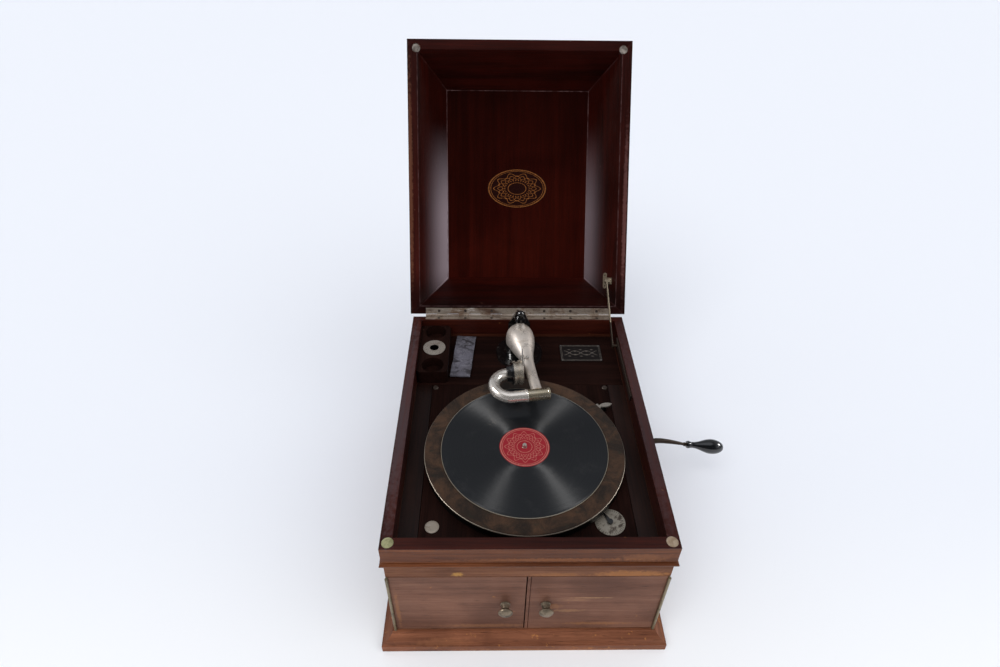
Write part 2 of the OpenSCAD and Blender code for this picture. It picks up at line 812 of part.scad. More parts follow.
module stay_arm() {
    color("gainsboro") translate(pivot_open) rotate([180 + stay_angle, 0, 0]) difference() {
        union() {
            translate([-stay_t / 2, 0, -stay_w / 2]) cube([stay_t, stay_len, stay_w]);
            for (y = [0, stay_len]) translate([-stay_t / 2, y, 0]) rotate([0, 90, 0])
                cylinder(h = stay_t, r = stay_w / 2);
            translate([0, stay_len, 0]) rotate([0, 90, 0]) cylinder(h = rail_x - stay_x - stay_gap, r = 2.5);
        }
        translate([-stay_t, 0, 0]) rotate([0, 90, 0]) cylinder(h = 2 * stay_t, r = stay_pin_r + run_fit);
    }
}

// Slide plate on the right wall that the stay's foot follows
rail_t = 3;
rail_x = in_x - rail_t;

module stay_rail() {
    color("silver") translate([rail_x, front_y + 280, case_h - 14]) difference() {
        cube([rail_t, 150, 10]);
        for (y = [6, 144]) translate([-1, y, 5]) rotate([0, 90, 0]) cylinder(h = 5, r = 1.6);
    }
}

module tonearm_bracket() {
    color([0.05, 0.05, 0.05]) translate([pivot_x, pivot_y, 0]) difference() {
        union() {
            translate([0, 0, deck_z]) cylinder(h = flange_h, r = flange_r);
            translate([0, 0, deck_z]) cylinder(h = bell_z - deck_z - 0.4, r = boss_r);
            // Yoke that leans over the bell, with the arm that carries the pivot screw
            intersection() {
                translate([20, 0, 0]) rotate([90, 0, -90]) linear_extrude(40) polygon([
                    [-bell_r - 12, deck_z], [-bell_r - 12, deck_z + 38], [-13, yoke_z], [0, yoke_z],
                    [0, yoke_z - 8], [-11, yoke_z - 8], [-bell_r - 4, deck_z + 46], [-bell_r - 4, deck_z]]);
                rotate([90, 0, 0]) translate([0, 0, -60]) linear_extrude(60 + eps) polygon([
                    [-20, deck_z], [20, deck_z], [20, deck_z + 45], [8, yoke_z], [-8, yoke_z],
                    [-20, deck_z + 45]]);
            }
            translate([0, 0, yoke_z - 8]) cylinder(h = 8, r = 10);
            translate([0, 0, yoke_z]) cylinder(h = 2.5, r = acorn_r + 1);
            translate([0, 0, yoke_z + 2.5]) cylinder(h = 2.5, r = acorn_r);
            translate([0, 0, yoke_z + 5]) sphere(r = acorn_r);
            translate([0, 0, yoke_z - 12]) cylinder(h = 5, r1 = 1, r2 = 3);
        }
        translate([0, 0, deck_z - 1]) cylinder(h = bell_z - deck_z + 1, r = throat_in);
    }
}

// Tapered tube from the bell to the crosspiece, smaller all round by t and short of its end
module arm_taper(t, short) {
    run = norm([arm_len, arm_z - elbow_z]);
    shape = [[arm_root_r, 0], [arm_root_r - 2, 0.15], [arm_root_r - 7, 0.3], [arm_root_r - 12.3, 0.5],
        [arm_tip_r + 1.2, 0.68]];
    translate([0, 0, elbow_z]) rotate([90 - atan((arm_z - elbow_z) / arm_len), 0, 0]) rotate_extrude()
        polygon(concat([[0, 0]], [for (p = shape) [p[0] - t, p[1] * run]],
            [[arm_tip_r - t, run - short], [0, run - short]]));
}

module tonearm() {
    neck_top = yoke_z - 8.4;
    color("silver") arm_pose() difference() {
        union() {
            translate([0, 0, bell_z]) cylinder(h = elbow_z - bell_z, r = bell_r);
            translate([0, 0, elbow_z]) sphere(r = bell_r);
            translate([0, 0, elbow_z]) cylinder(h = bell_r + 1, r1 = 17, r2 = neck_r + 2);
            translate([0, 0, elbow_z]) cylinder(h = neck_top - elbow_z, r = neck_r);
            arm_taper(0, 0);
            translate([-cross_l, -arm_len, arm_z]) rotate([0, 90, 0])
                cylinder(h = 2 * cross_l, r = cross_r);
            translate([cross_l - 3, -arm_len, arm_z]) rotate([0, 90, 0])
                cylinder(h = 3.5, r = cross_r + 0.6);
        }
        translate([0, 0, elbow_z - bell_r - 1]) cylinder(h = bell_r + 1, r = bell_r - tube_t);
        translate([0, 0, elbow_z]) sphere(r = bell_r - tube_t);
        arm_taper(tube_t, 4);
        translate([-cross_l - 1, -arm_len, arm_z]) rotate([0, 90, 0])
            cylinder(h = 2 * cross_l - 1, r = cross_r - tube_t);
        translate([0, 0, neck_top - 6]) cylinder(h = 8, r = 3.2);
    }
}

module gooseneck() {
    stub_r = cross_r - tube_t - run_fit;
    bore_r = tube_r - tube_t - 1;
    x1 = -cross_l - 0.3;
    color("silver") arm_pose() translate([0, 0, arm_z]) {
        translate([box_x, -arm_len, 0]) rotate([0, 90, 0]) difference() {
            union() {
                translate([0, 0, -eps]) cylinder(h = x1 - box_x + eps, r = tube_r);
                translate([0, 0, x1 - box_x - 2]) cylinder(h = 2, r = tube_r + 0.8);
                translate([0, 0, x1 - box_x - 4]) cylinder(h = 2 * cross_l - 4, r = stub_r);
            }
            translate([0, 0, -1]) cylinder(h = 80, r = bore_r);
        }
        translate([box_x, -arm_len + bend_r, 0]) rotate([0, 0, 90]) rotate_extrude(angle = 180)
            translate([bend_r, 0]) difference() {
                circle(r = tube_r);
                circle(r = bore_r);
            }
        translate([box_x, box_y, 0]) rotate([0, 90, 0]) difference() {
            translate([0, 0, -eps]) cylinder(h = 3 + eps, r = tube_r);
            translate([0, 0, -1]) cylinder(h = 5, r = bore_r);
        }
    }
}

// Puts a piece on the soundbox's axis, with z along the axis towards the face
module box_pose() {
    arm_pose() translate([shell_x0, box_y, arm_z]) rotate([0, 90, 0]) children();
}

module soundbox_flange() {
    color("black") box_pose() translate([0, 0, -flange_t]) difference() {
        union() {
            translate([0, 0, -collar_l]) cylinder(h = collar_l + 0.5, r1 = tube_r + 3.4, r2 = box_r - 5);
            cylinder(h = flange_t, r = box_r - 5);
            translate([0, 0, 2.5]) cylinder(h = flange_t - 2.5, r = box_r - 1.5);
        }
        translate([0, 0, -1]) cylinder(h = flange_t + 2, r = 5.5);
        // Room for the end of the gooseneck, which bends away inside the collar
        translate([0, 0, -collar_l - 1]) cylinder(h = collar_l + 1, r = tube_r + 1.2);
    }
}

module soundbox_shell() {
    color("silver") box_pose() difference() {
        union() {
            cylinder(h = box_t, r = box_r - 2.2);
            cylinder(h = 4.5, r = box_r);
            translate([0, 0, box_t - 6]) cylinder(h = 6, r = box_r);
        }
        translate([0, 0, -1]) cylinder(h = 4, r = 5.5);
        translate([0, 0, 3]) cylinder(h = box_t, r = box_r - 4);
    }
}

module diaphragm() {
    color("lightgray") box_pose() translate([0, 0, box_t - 5]) cylinder(h = 1, r = box_r - 4 - run_fit);
}

// Axis frame of the needle at rest: +x runs out along the needle
module needle_pose() {
    arm_pose() translate([needle_x, box_y, arm_z]) rotate([needle_rest, 0, 0]) rotate([0, 0, 90])
        children();
}

module needle_arm() {
    color("gainsboro") needle_pose() difference() {
        union() {
            rod([0, 6, 0], [0, 0, 0], 2, 2);
            translate([0, 0, 0]) sphere(r = 2);
            rod([0, 0, 0], [box_r + 2, 0, 0], 1.8, 1.9);
            rod([box_r, 0, 0], [box_r + 9, 0, 0], 3.6, 3);
            translate([box_r + 4.5, 0, 0]) rotate([90, 0, 0]) cylinder(h = 9, r = 1.6);
            translate([box_r + 4.5, -7, 0]) rotate([90, 0, 0]) cylinder(h = 3, r = 3.4);
            translate([box_r - 3, 0, 0]) rotate([-90, 0, 0])
                cylinder(h = needle_x - shell_x0 - box_t, r = 2.4);
        }
        rod([box_r + 1, 0, 0], [box_r + 10, 0, 0], 1, 1);
    }
}

module needle() {
    color("lightgray") needle_pose() {
        rod([box_r + 1, 0, 0], [needle_reach - 3, 0, 0], 0.9, 0.9);
        rod([needle_reach - 3, 0, 0], [needle_reach, 0, 0], 0.9, 0.15);
    }
}

module door_panel(x0, x1) {
    translate([x0, wall_front_y, door_z]) cube([x1 - x0, door_t, door_h]);
}

knob_z = door_z + door_h / 2;

module left_door() {
    color("sienna") door_panel(-door_edge_x, door_meet - meet_gap / 2);
}

module right_door() {
    color("sienna") difference() {
        door_panel(door_meet + meet_gap / 2, door_edge_x);
        translate([door_meet + astragal_w, wall_front_y - 1, door_z - 1])
            cube([1, 2, door_h + 2]);
    }
}

module door_leaf_right(odd, x0, w) {
    translate([door_hinge_x, door_hinge_y, door_z + 1]) mirror([1, 0, 0])
        hinge_leaf(door_hinge_h, door_knuckles, odd, door_kr, door_pin_r, x0, w);
}

module door_hinge_case_leaves() {
    color("darkkhaki") for (s = [0, 1]) mirror([s, 0, 0])
        door_leaf_right(0, -leaf_t - 0.1, side_leaf_w);
}

module door_hinge_pins() {
    color("gray") for (s = [-1, 1]) translate([s * door_hinge_x, door_hinge_y, door_z + 1])
        cylinder(h = door_hinge_h, r = door_pin_r);
}

module left_door_leaf() {
    color("darkkhaki") mirror([1, 0, 0]) door_leaf_right(1, 0.1, door_leaf_w);
}

module right_door_leaf() {
    color("darkkhaki") door_leaf_right(1, 0.1, door_leaf_w);
}

module knob(x) {
    color("darkkhaki") translate([x, wall_front_y, knob_z]) rotate([90, 0, 0]) rotate_extrude()
        polygon([[0, 0], [knob_r - 3.4, 0], [knob_r - 3.4, 1.4], [knob_r - 4.4, 2.6], [knob_neck_r + 0.6, 4.4],
            [knob_neck_r, knob_len / 2 - 0.4], [knob_neck_r + 0.8, knob_len / 2 + 1.2],
            [knob_r - 1, knob_len - 6.2], [knob_r, knob_len - 5.2], [knob_r - 0.4, knob_len - 3.6],
            [knob_r - 3, knob_len - 1.6], [knob_r - 6.4, knob_len - 0.4], [0, knob_len]]);
}

module left_knob() {
    knob(door_meet - knob_in);
}

module right_knob() {
    knob(door_meet + knob_in);
}

module turntable() {
    bore = spindle_r + run_fit;
    color("dimgray") translate([0, spindle_y, 0]) rotate_extrude()
        polygon([[bore, felt_z - 11], [hub_r, felt_z - 11], [hub_r, felt_z - platter_t],
            [platter_r - platter_t, felt_z - platter_t], [platter_r - platter_t, platter_z],
            [platter_r, platter_z], [platter_r, felt_z - 0.6], [platter_r - 0.6, felt_z],
            [bore, felt_z]]);
}

module turntable_felt() {
    color("darkolivegreen") translate([0, spindle_y, felt_z]) difference() {
        cylinder(h = felt_t, r = platter_r - 0.8);
        translate([0, 0, -1]) cylinder(h = felt_t + 2, r = 6);
    }
}

module record() {
    color([0.04, 0.04, 0.04]) translate([0, spindle_y, felt_z + felt_t]) difference() {
        union() {
            cylinder(h = record_t - 0.3, r = record_r);
            cylinder(h = record_t - 0.1, r = record_r - 4);
            cylinder(h = record_t, r = record_r * 0.3);
        }
        translate([0, 0, -1]) cylinder(h = record_t + 2, r = spindle_r + run_fit);
    }
}

// Plain toothed wheel whose tips stop short of the pitch circle
module toothed(r, h, n) {
    difference() {
        cylinder(h = h, r = r);
        for (i = [0 : n - 1]) rotate([0, 0, 360 * i / n])
            translate([r - 1.6, -0.22 * r * 6.28 / n, -1]) cube([3, 0.44 * r * 6.28 / n, h + 2]);
    }
}

module spindle() {
    color("silver") translate([0, spindle_y, 0]) {
        translate([0, 0, motor_low + 0.5])
            cylinder(h = record_z - motor_low - 0.5, r = spindle_r);
        translate([0, 0, record_z]) cylinder(h = spindle_up - 1.5, r = spindle_r - tip_step);
        translate([0, 0, record_z + spindle_up - 1.5])
            cylinder(h = 1.5, r1 = spindle_r - tip_step, r2 = 2.2);
        translate([0, 0, gear_z - 1]) toothed(pinion_r, 6, 14);
        translate([0, 0, worm_z - 3]) toothed(worm_wheel_r, 6, 32);
    }
}

module spring_barrel() {
    top = motor_top - 4;
    color("slategray") translate([barrel_x, crank_y, 0]) difference() {
        union() {
            translate([0, 0, gear_z]) toothed(drum_gear_r, 4, 46);
            translate([0, 0, gear_z + 4]) cylinder(h = top - gear_z - 5, r = barrel_r);
            translate([0, 0, top - 1]) cylinder(h = 1, r = barrel_r - 3);
        }
        translate([0, 0, gear_z - 1]) cylinder(h = 60, r = 4 + run_fit);
    }
}

module winding_arbor() {
    color("silver") translate([barrel_x, crank_y, 0]) {
        translate([0, 0, motor_low + 0.5]) cylinder(h = motor_top + plate_t - motor_low - 1, r = 4);
        translate([0, 0, crank_z + bevel_r + mesh_gap]) toothed(wind_wheel_r, 4.5, 26);
    }
}

module governor() {
    color("goldenrod") translate([0, gov_y, worm_z]) rotate([0, 90, 0]) {
        translate([0, 0, -35.6]) cylinder(h = 91, r = 2);
        translate([0, 0, -10]) cylinder(h = 20, r = worm_r);
        translate([0, 0, 14]) cylinder(h = 4, r = 5);
        translate([0, 0, 42]) cylinder(h = 4, r = 5);
        translate([0, 0, 46]) cylinder(h = 2, r = 15);
        for (a = [0, 120, 240]) rotate([0, 0, a]) {
            rod([4, 0, 16], [13, 0, 30], 1, 1);
            rod([13, 0, 30], [4, 0, 44], 1, 1);
            translate([13, 0, 30]) sphere(r = 5);
        }
    }
}

module motor_frame() {
    posts = [for (x = [motor_x0 + post_in, motor_x1 - post_in], y = [motor_y0 + post_in, motor_y1 - post_in])
        [x, y]];
    color("darkslategray") difference() {
        union() {
            for (z = [motor_low, motor_top]) translate([motor_x0, motor_y0, z])
                cube([motor_x1 - motor_x0, motor_y1 - motor_y0, plate_t]);
            for (p = posts) {
                translate([p[0], p[1], motor_low]) cylinder(h = motor_top - motor_low, r = post_r);
                translate([p[0], p[1], motor_top]) cylinder(h = deck_z - board_t - motor_top, r = post_r + 1);
            }
            for (x = [-36, 53]) translate([x, gov_y - 6, worm_z - 6])
                cube([3, 12, motor_top - worm_z + 6.5]);
        }
        for (c = [[0, spindle_y, spindle_r], [barrel_x, crank_y, 4]])
            translate([c[0], c[1], motor_low - 1]) cylinder(h = 90, r = c[2] + run_fit);
        translate([-40, gov_y, worm_z]) rotate([0, 90, 0]) cylinder(h = 100, r = 2 + run_fit);
    }
}

module crank_escutcheon() {
    color("silver") translate([in_x, crank_y, crank_z]) rotate([0, 90, 0]) difference() {
        union() {
            cylinder(h = out_x - in_x, r = bush_r);
            translate([0, 0, out_x - in_x]) cylinder(h = 2, r1 = 16, r2 = 14);
            translate([0, 0, out_x - in_x]) cylinder(h = 4, r = 8.5);
        }
        translate([0, 0, -1]) cylinder(h = 30, r = crank_r + run_fit);
    }
}

// Point of the crank's arm, t from the shaft's end to the handle
function arm_r(t) = crank_throw * (1 - pow(1 - t, 3));
function arm_x(t) = crank_x0 + crank_out * (0.1 * t + 0.9 * pow(t, 2.4));
function arm_point(t) = [arm_x(t),
    crank_y + arm_r(t) * cos(crank_angle),
    crank_z + arm_r(t) * sin(crank_angle)
        + crank_bow * 4 * t * t * (1 - t)
        - max(0, arm_x(t) - crank_x0 - crank_out + droop_run) * tan(crank_droop)];
function arm_half(t) = 5.4 - 3 * pow(t, 5);
function unit(v) = v / norm(v);

// Bent bar through the arm's points, each ring of m corners square to the run
module bent_bar(n, m) {
    up = [0, -sin(crank_angle), cos(crank_angle)];
    ring = [for (i = [0 : n], j = [0 : m - 1])
        let (t = i / n, run = unit(arm_point(min(1, t + 0.01)) - arm_point(max(0, t - 0.01))),
            side = unit(cross(run, up)), rise = cross(run, side))
        arm_point(t) + arm_half(t) * (cos(360 * j / m) * side + sin(360 * j / m) * rise)];
    polyhedron(points = ring, convexity = 4, faces = concat(
        [[for (j = [0 : m - 1]) j]],
        [[for (j = [0 : m - 1]) n * m + m - 1 - j]],
        [for (i = [0 : n - 1], j = [0 : m - 1]) [i * m + j, (i + 1) * m + j, i * m + (j + 1) % m]],
        [for (i = [0 : n - 1], j = [0 : m - 1])
            [(i + 1) * m + j, (i + 1) * m + (j + 1) % m, i * m + (j + 1) % m]]));
}

module crank_rod() {
    color("dimgray") {
        rod([barrel_x + wind_wheel_r - 12, crank_y, crank_z], [crank_x0, crank_y, crank_z], crank_r, crank_r);
        translate([barrel_x + wind_wheel_r - 8, crank_y, crank_z]) rotate([0, 90, 0])
            toothed(bevel_r, 8, 12);
        translate([crank_x0, crank_y, crank_z]) sphere(r = 6.4);
        bent_bar(20, 16);
        translate(crank_end) rotate([0, 90 + crank_droop, 0]) {
            translate([0, 0, -1]) cylinder(h = 2, r = 3.4);
            sphere(r = 3.6);
            cylinder(h = 4, r = 2.4);
            cylinder(h = handle_l - 8, r = axle_r);
        }
    }
}

// Radius of the turned handle, t from its collar to its round end
function handle_half(t) = t < 0.15 ? 7.2 - 1.8 * (1 - cos(180 * t / 0.15)) / 2
    : t < 0.67 ? 5.4 + (handle_r - 5.4) * (1 - cos(180 * (t - 0.15) / 0.52)) / 2
    : handle_r * sqrt(max(0, 1 - pow((t - 0.67) / 0.33, 2)));

module crank_handle() {
    n = 24;
    color("black") translate(crank_end) rotate([0, 90 + crank_droop, 0]) translate([0, 0, 4.3])
        rotate_extrude() polygon(concat(
            [[0, handle_l - 12], [axle_r + run_fit, handle_l - 12], [axle_r + run_fit, 0], [6, 0]],
            [for (i = [1 : n - 1]) [handle_half(i / n), handle_l * i / n]],
            [[0, handle_l]]));
}

dial_at = [116.4, front_y + 64.5];
dial_r = 21.5;

module speed_dial() {
    color("silver") translate([dial_at[0], dial_at[1], deck_z]) difference() {
        cylinder(h = 1.2, r = dial_r);
        translate([0, 0, -1]) cylinder(h = 4, r = 2.2 + run_fit);
    }
}

module speed_lever() {
    color("black") translate([dial_at[0], dial_at[1], deck_z]) rotate([0, 0, 118]) {
        translate([0, 0, 0.2]) cylinder(h = 2, r = 2.2);
        translate([0, 0, 1.5]) cylinder(h = 2.2, r = 4.2);
        difference() {
            translate([0, 0, 1.5]) linear_extrude(1.2) polygon([[0, -3.2], [17, -0.9], [17, 0.9], [0, 3.2]]);
            translate([0, 0, 0]) cylinder(h = 1, r = 1);
        }
    }
}

brake_at = [137, front_y + 282];
brake_gap = 0.8;
brake_leaf = [23, 8.5];
leaf_bow = (brake_leaf[0] * brake_leaf[0] + brake_leaf[1] * brake_leaf[1]) / (4 * brake_leaf[1]);
brake_turn = atan2(brake_at[1] - spindle_y, brake_at[0]);
brake_reach = norm([brake_at[0], brake_at[1] - spindle_y]) - platter_r;

module brake_lever() {
    color("silver") translate([brake_at[0], brake_at[1], deck_z + 0.3]) rotate([0, 0, brake_turn]) {
        cylinder(h = 5, r = 4.5);
        translate([-brake_reach + 4, -3, 2]) cube([brake_reach - 4, 6, 3]);
        translate([-brake_reach + brake_gap, -5, 2]) cube([5, 10, felt_z - deck_z - 6]);
        translate([0, -2.5, 5]) cylinder(h = 9, r = 2.2);
        // Leaf-shaped thumb piece
        translate([-1.5, -4, 14]) rotate([0, 0, 12 - brake_turn]) linear_extrude(2.4) intersection() {
            translate([0, leaf_bow - brake_leaf[1] / 2]) circle(leaf_bow);
            translate([0, brake_leaf[1] / 2 - leaf_bow]) circle(leaf_bow);
        }
    }
}

base_board();
plinth_moulding();
left_side();
right_side();
back_panel();
front_rails();
rim_frame();
corner_pads();
horn();
horn_elbow();
rear_deck();
motor_board();
board_ledges();
board_screws();
board_cap();
needle_cup_block();
needle_cup();
nameplate();
needle_packet();
lid_hinge_case_leaf();
case_hinge_screws();
lid_hinge_pin();
stay_rail();
tonearm_bracket();
door_hinge_case_leaves();
door_hinge_pins();
crank_escutcheon();
speed_dial();
motor_frame();
lid_frame();
lid_panel();
lid_hinge_leaf();
lid_hinge_screws();
lid_pads();
stay_bracket();
stay_arm();
left_door();
right_door();
left_door_leaf();
right_door_leaf();
left_knob();
right_knob();
turntable();
turntable_felt();
record();
spindle();
spring_barrel();
governor();
winding_arbor();
crank_rod();
crank_handle();
tonearm();
gooseneck();
soundbox_shell();
soundbox_flange();
diaphragm();
needle_arm();
needle();
speed_lever();
brake_lever();
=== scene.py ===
"""Tabletop gramophone with a lid, two doors and a wooden horn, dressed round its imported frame."""

import logging
import math
from dataclasses import dataclass, replace
from enum import Enum
from functools import reduce
from typing import Callable, Dict, Mapping, Optional, Sequence, Tuple, Union

import bpy
from mathutils import Matrix, Vector


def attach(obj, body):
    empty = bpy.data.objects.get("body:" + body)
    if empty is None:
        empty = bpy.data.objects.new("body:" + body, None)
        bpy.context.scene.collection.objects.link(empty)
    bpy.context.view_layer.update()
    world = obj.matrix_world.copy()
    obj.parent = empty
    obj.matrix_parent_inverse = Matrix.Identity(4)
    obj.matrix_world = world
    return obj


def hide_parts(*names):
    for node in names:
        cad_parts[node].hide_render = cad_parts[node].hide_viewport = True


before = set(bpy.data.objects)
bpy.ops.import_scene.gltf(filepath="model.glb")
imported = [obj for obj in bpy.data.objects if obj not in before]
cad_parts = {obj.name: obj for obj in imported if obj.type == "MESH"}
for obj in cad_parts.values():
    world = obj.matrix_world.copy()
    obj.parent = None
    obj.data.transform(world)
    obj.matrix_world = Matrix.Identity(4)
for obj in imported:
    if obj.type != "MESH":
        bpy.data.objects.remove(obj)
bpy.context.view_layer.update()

log = logging.getLogger("gramophone")

Colour = Tuple[float, float, float, float]
Point = Tuple[float, float, float]
Profile = Sequence[Tuple[float, float]]
Piece = bpy.types.Object
Value = Union["Signal", float, Sequence[float]]

MM = 0.001
MERGE = 2e-6  # metres within which points are one
EDGE_ANGLE = 32.0  # degrees from which an edge is rounded
FLAT_ANGLE = 0.4  # degrees within which two faces are one
CASE_HALF = (0.196, 0.243)  # half the case's width and depth, in metres

# The places and sizes that follow are in millimetres.
SPINDLE = (0.0, -62.0)
PLATE_AT = (115.0, 182.5, 211.0)
ORNAMENT_AT = (0.0, 242.0)
ORNAMENT_HALF = (58.5, 37.5)
LABEL_RADIUS = 38.3
PAD_AT = (185.5, -233.0)  # the right-hand pads; the left ones mirror them
PAD_RADIUS = 8.0


def srgb(red: float, green: float, blue: float) -> Colour:
    """Turn a colour seen on screen into the linear one that the shaders take.

    Args:
        red: Red from 0 to 255.
        green: Green from 0 to 255.
        blue: Blue from 0 to 255.

    Returns:
        The linear colour with full alpha.
    """
    def linear(level: float) -> float:
        """One channel of the colour, made linear."""
        level /= 255
        return level / 12.92 if level <= 0.04045 else ((level + 0.055) / 1.055) ** 2.4
    return (linear(red), linear(green), linear(blue), 1.0)


def mm(x: float, y: float, z: float) -> Vector:
    """A place given in millimetres, in metres."""
    return Vector((x, y, z)) * MM


@dataclass(frozen=True)
class LidPose:
    """The lid's sizes, and where it stands open, as turned up from its closed place."""

    hinge_y: float = 246.0
    hinge_z: float = 248.5
    opening: float = 121.9
    width: float = 403.0
    length: float = 491.0
    edge_gap: float = 3.0
    border: float = 17.5
    inset: float = 65.0
    depth: float = 82.0
    steep: float = 1.726

    def matrix(self) -> Matrix:
        """The turn from the closed lid to the open one, about the hinge.

        Returns:
            The turn.
        """
        hinge = mm(0, self.hinge_y, self.hinge_z)
        turn = Matrix.Rotation(math.radians(-self.opening), 4, "X")
        return Matrix.Translation(hinge) @ turn @ Matrix.Translation(-hinge)

    def tilt(self) -> float:
        """The turn about X that lays the open lid's length along Y."""
        return math.radians(self.opening - 180)

    def origin(self) -> Vector:
        """What is added after that turn, so that the hinge is the origin."""
        return -(Matrix.Rotation(self.tilt(), 3, "X") @ mm(0, self.hinge_y, self.hinge_z))

    def middle(self) -> float:
        """The middle of its length from the hinge, in metres."""
        return (self.edge_gap + self.length / 2) * MM


LID = LidPose()


class Grain(Enum):
    """Which way the wood's grain runs in a piece."""

    ACROSS = "across"
    DEEP = "deep"
    CASE_MITRE = "round the case"
    LID_MITRE = "round the lid"
    LID_LONG = "along the lid"


class Skin(Enum):
    """Which faces of a piece have faded in the light."""

    NONE = "none"
    CASE = "case"
    LID = "lid"


class Signal:
    """What a node puts out, with its sums written as operators."""

    def __init__(self, tree: "Tree", socket: bpy.types.NodeSocket) -> None:
        """Remember a socket and the tree that it is in."""
        self.tree, self.socket = tree, socket

    def math(self, operation: str, other: Value = 0.0) -> "Signal":
        """The result of one sum on this value and another."""
        return self.tree.out("ShaderNodeMath", {0: self, 1: other}, operation=operation)

    def __add__(self, other: Value) -> "Signal":
        """This value plus another."""
        return self.math("ADD", other)

    def __sub__(self, other: Value) -> "Signal":
        """This value less another."""
        return self.math("SUBTRACT", other)

    def __rsub__(self, other: float) -> "Signal":
        """A number less this value."""
        return self.tree.out("ShaderNodeMath", {0: other, 1: self}, operation="SUBTRACT")

    def __mul__(self, other: Value) -> "Signal":
        """This value times another."""
        return self.math("MULTIPLY", other)

    def __pow__(self, other: Value) -> "Signal":
        """This value to a power."""
        return self.math("POWER", other)

    def __abs__(self) -> "Signal":
        """This value without its sign."""
        return self.math("ABSOLUTE")

    def least(self, *others: "Signal") -> "Signal":
        """The lowest of several values."""
        return reduce(lambda low, other: low.math("MINIMUM", other), others, self)

    def most(self, *others: "Signal") -> "Signal":
        """The highest of several values."""
        return reduce(lambda high, other: high.math("MAXIMUM", other), others, self)

    def far(self, other: "Signal") -> "Signal":
        """The distance from the origin, with this value along X and another along Y."""
        return (self * self + other * other).math("SQRT")

    def ramp(self, start: Value, end: Value, low: Value = 0.0, high: Value = 1.0) -> "Signal":
        """A soft step from low to high as the value goes from start to end."""
        return self.tree.out("ShaderNodeMapRange", dict(enumerate((self, start, end, low, high))),
                             interpolation_type="SMOOTHSTEP")

    def spread(self, low: float, high: float) -> "Signal":
        """A value from 0 to 1, spread evenly from low to high."""
        return self.tree.out("ShaderNodeMapRange", dict(enumerate((self, 0.0, 1.0, low, high))))

    def line(self, at: float, half: float) -> "Signal":
        """1 where the value is near one level, with soft edges."""
        return abs(self - at).ramp(half * 1.5, half * 0.6)

    def noise(self, scale: Value, detail: float = 3.0, rough: float = 0.55, warp: float = 0.0) -> "Signal":
        """Cloudy noise between 0 and 1 at this place."""
        return self.tree.out("ShaderNodeTexNoise", {"Vector": self, "Scale": scale, "Detail": detail,
                                                    "Roughness": rough, "Distortion": warp})

    def placed(self, scale: Sequence[float] = (1, 1, 1), move: Sequence[float] = (0, 0, 0),
               turn: Sequence[float] = (0, 0, 0)) -> "Signal":
        """This place scaled, then turned, then moved."""
        return self.tree.out("ShaderNodeMapping", {"Vector": self, "Location": move, "Rotation": turn,
                                                   "Scale": scale})

    def parts(self) -> Tuple["Signal", ...]:
        """The three numbers of this vector."""
        return tuple(self.tree.outs(self.tree.add("ShaderNodeSeparateXYZ", {0: self})).values())

    def bump(self, strength: float, depth: float) -> "Signal":
        """A normal that follows this height, with its depth in metres."""
        return self.tree.out("ShaderNodeBump", {"Height": self, "Strength": strength, "Distance": depth})


class Tree:
    """Lays out the nodes of one material or one node group."""

    def __init__(self, tree: bpy.types.NodeTree) -> None:
        """Take a node tree and empty it.

        Args:
            tree: The tree of a material, a group or the world.
        """
        self.tree = tree
        tree.nodes.clear()

    def add(self, kind: str, inputs: Optional[Mapping] = None, **settings: object) -> bpy.types.Node:
        """Add a node.

        Args:
            kind: The node's type.
            inputs: A value or a signal for each input, by name or number.
            **settings: The node's own settings.

        Returns:
            The new node.
        """
        node = self.tree.nodes.new(kind)
        for key, value in settings.items():
            setattr(node, key, value)
        for key, value in (inputs or {}).items():
            self.feed(node.inputs[key], value)
        return node

    def out(self, kind: str, inputs: Optional[Mapping] = None, key: Union[int, str] = 0,
            **settings: object) -> Signal:
        """Add a node and take one of its outputs."""
        return Signal(self, self.add(kind, inputs, **settings).outputs[key])

    def outs(self, node: bpy.types.Node) -> Dict[str, Signal]:
        """All the outputs of a node by name."""
        return {socket.name: Signal(self, socket) for socket in node.outputs}

    def feed(self, socket: bpy.types.NodeSocket, value: Value) -> None:
        """Link a signal to an input, or set the input to a constant.

        Args:
            socket: The input.
            value: What it gets.
        """
        if isinstance(value, Signal):
            self.tree.links.new(value.socket, socket)
        else:
            socket.default_value = value

    def mix(self, mask: Value, a: Value, b: Value, blend: str = "MIX") -> Signal:
        """Colour a where the mask is 0 and colour b where it is 1."""
        return self.out("ShaderNodeMix", {0: mask, 6: a, 7: b}, 2, data_type="RGBA", blend_type=blend)

    def where(self) -> Signal:
        """The place on the piece, in metres in the shared frame at rest."""
        return self.out("ShaderNodeTexCoord", key="Object")

    def lid_where(self) -> Signal:
        """The place on the lid: across, along from the hinge, and down from the closed rim."""
        return self.where().placed(move=LID.origin(), turn=(LID.tilt(), 0, 0))

    def joined(self, x: Value, y: Value, z: Value) -> Signal:
        """A vector of three numbers."""
        return self.out("ShaderNodeCombineXYZ", {0: x, 1: y, 2: z})

    def use(self, group: bpy.types.NodeTree, **inputs: Value) -> Dict[str, Signal]:
        """Place a node group and give its outputs by name."""
        return self.outs(self.add("ShaderNodeGroup", inputs, node_tree=group))

    def surface(self, **inputs: Value) -> None:
        """Finish the material with a surface shader.

        Args:
            **inputs: The shader's inputs, by name with _ for each space.
        """
        node = self.add("ShaderNodeBsdfPrincipled", {k.replace("_", " "): v for k, v in inputs.items()})
        self.tree.links.new(node.outputs[0], self.add("ShaderNodeOutputMaterial").inputs[0])


def new_material(name: str) -> Tuple[bpy.types.Material, Tree]:
    """Start a material.

    Args:
        name: The material's name.

    Returns:
        The material and its empty node tree.
    """
    material = bpy.data.materials.new(name)
    material.use_nodes = True
    return material, Tree(material.node_tree)


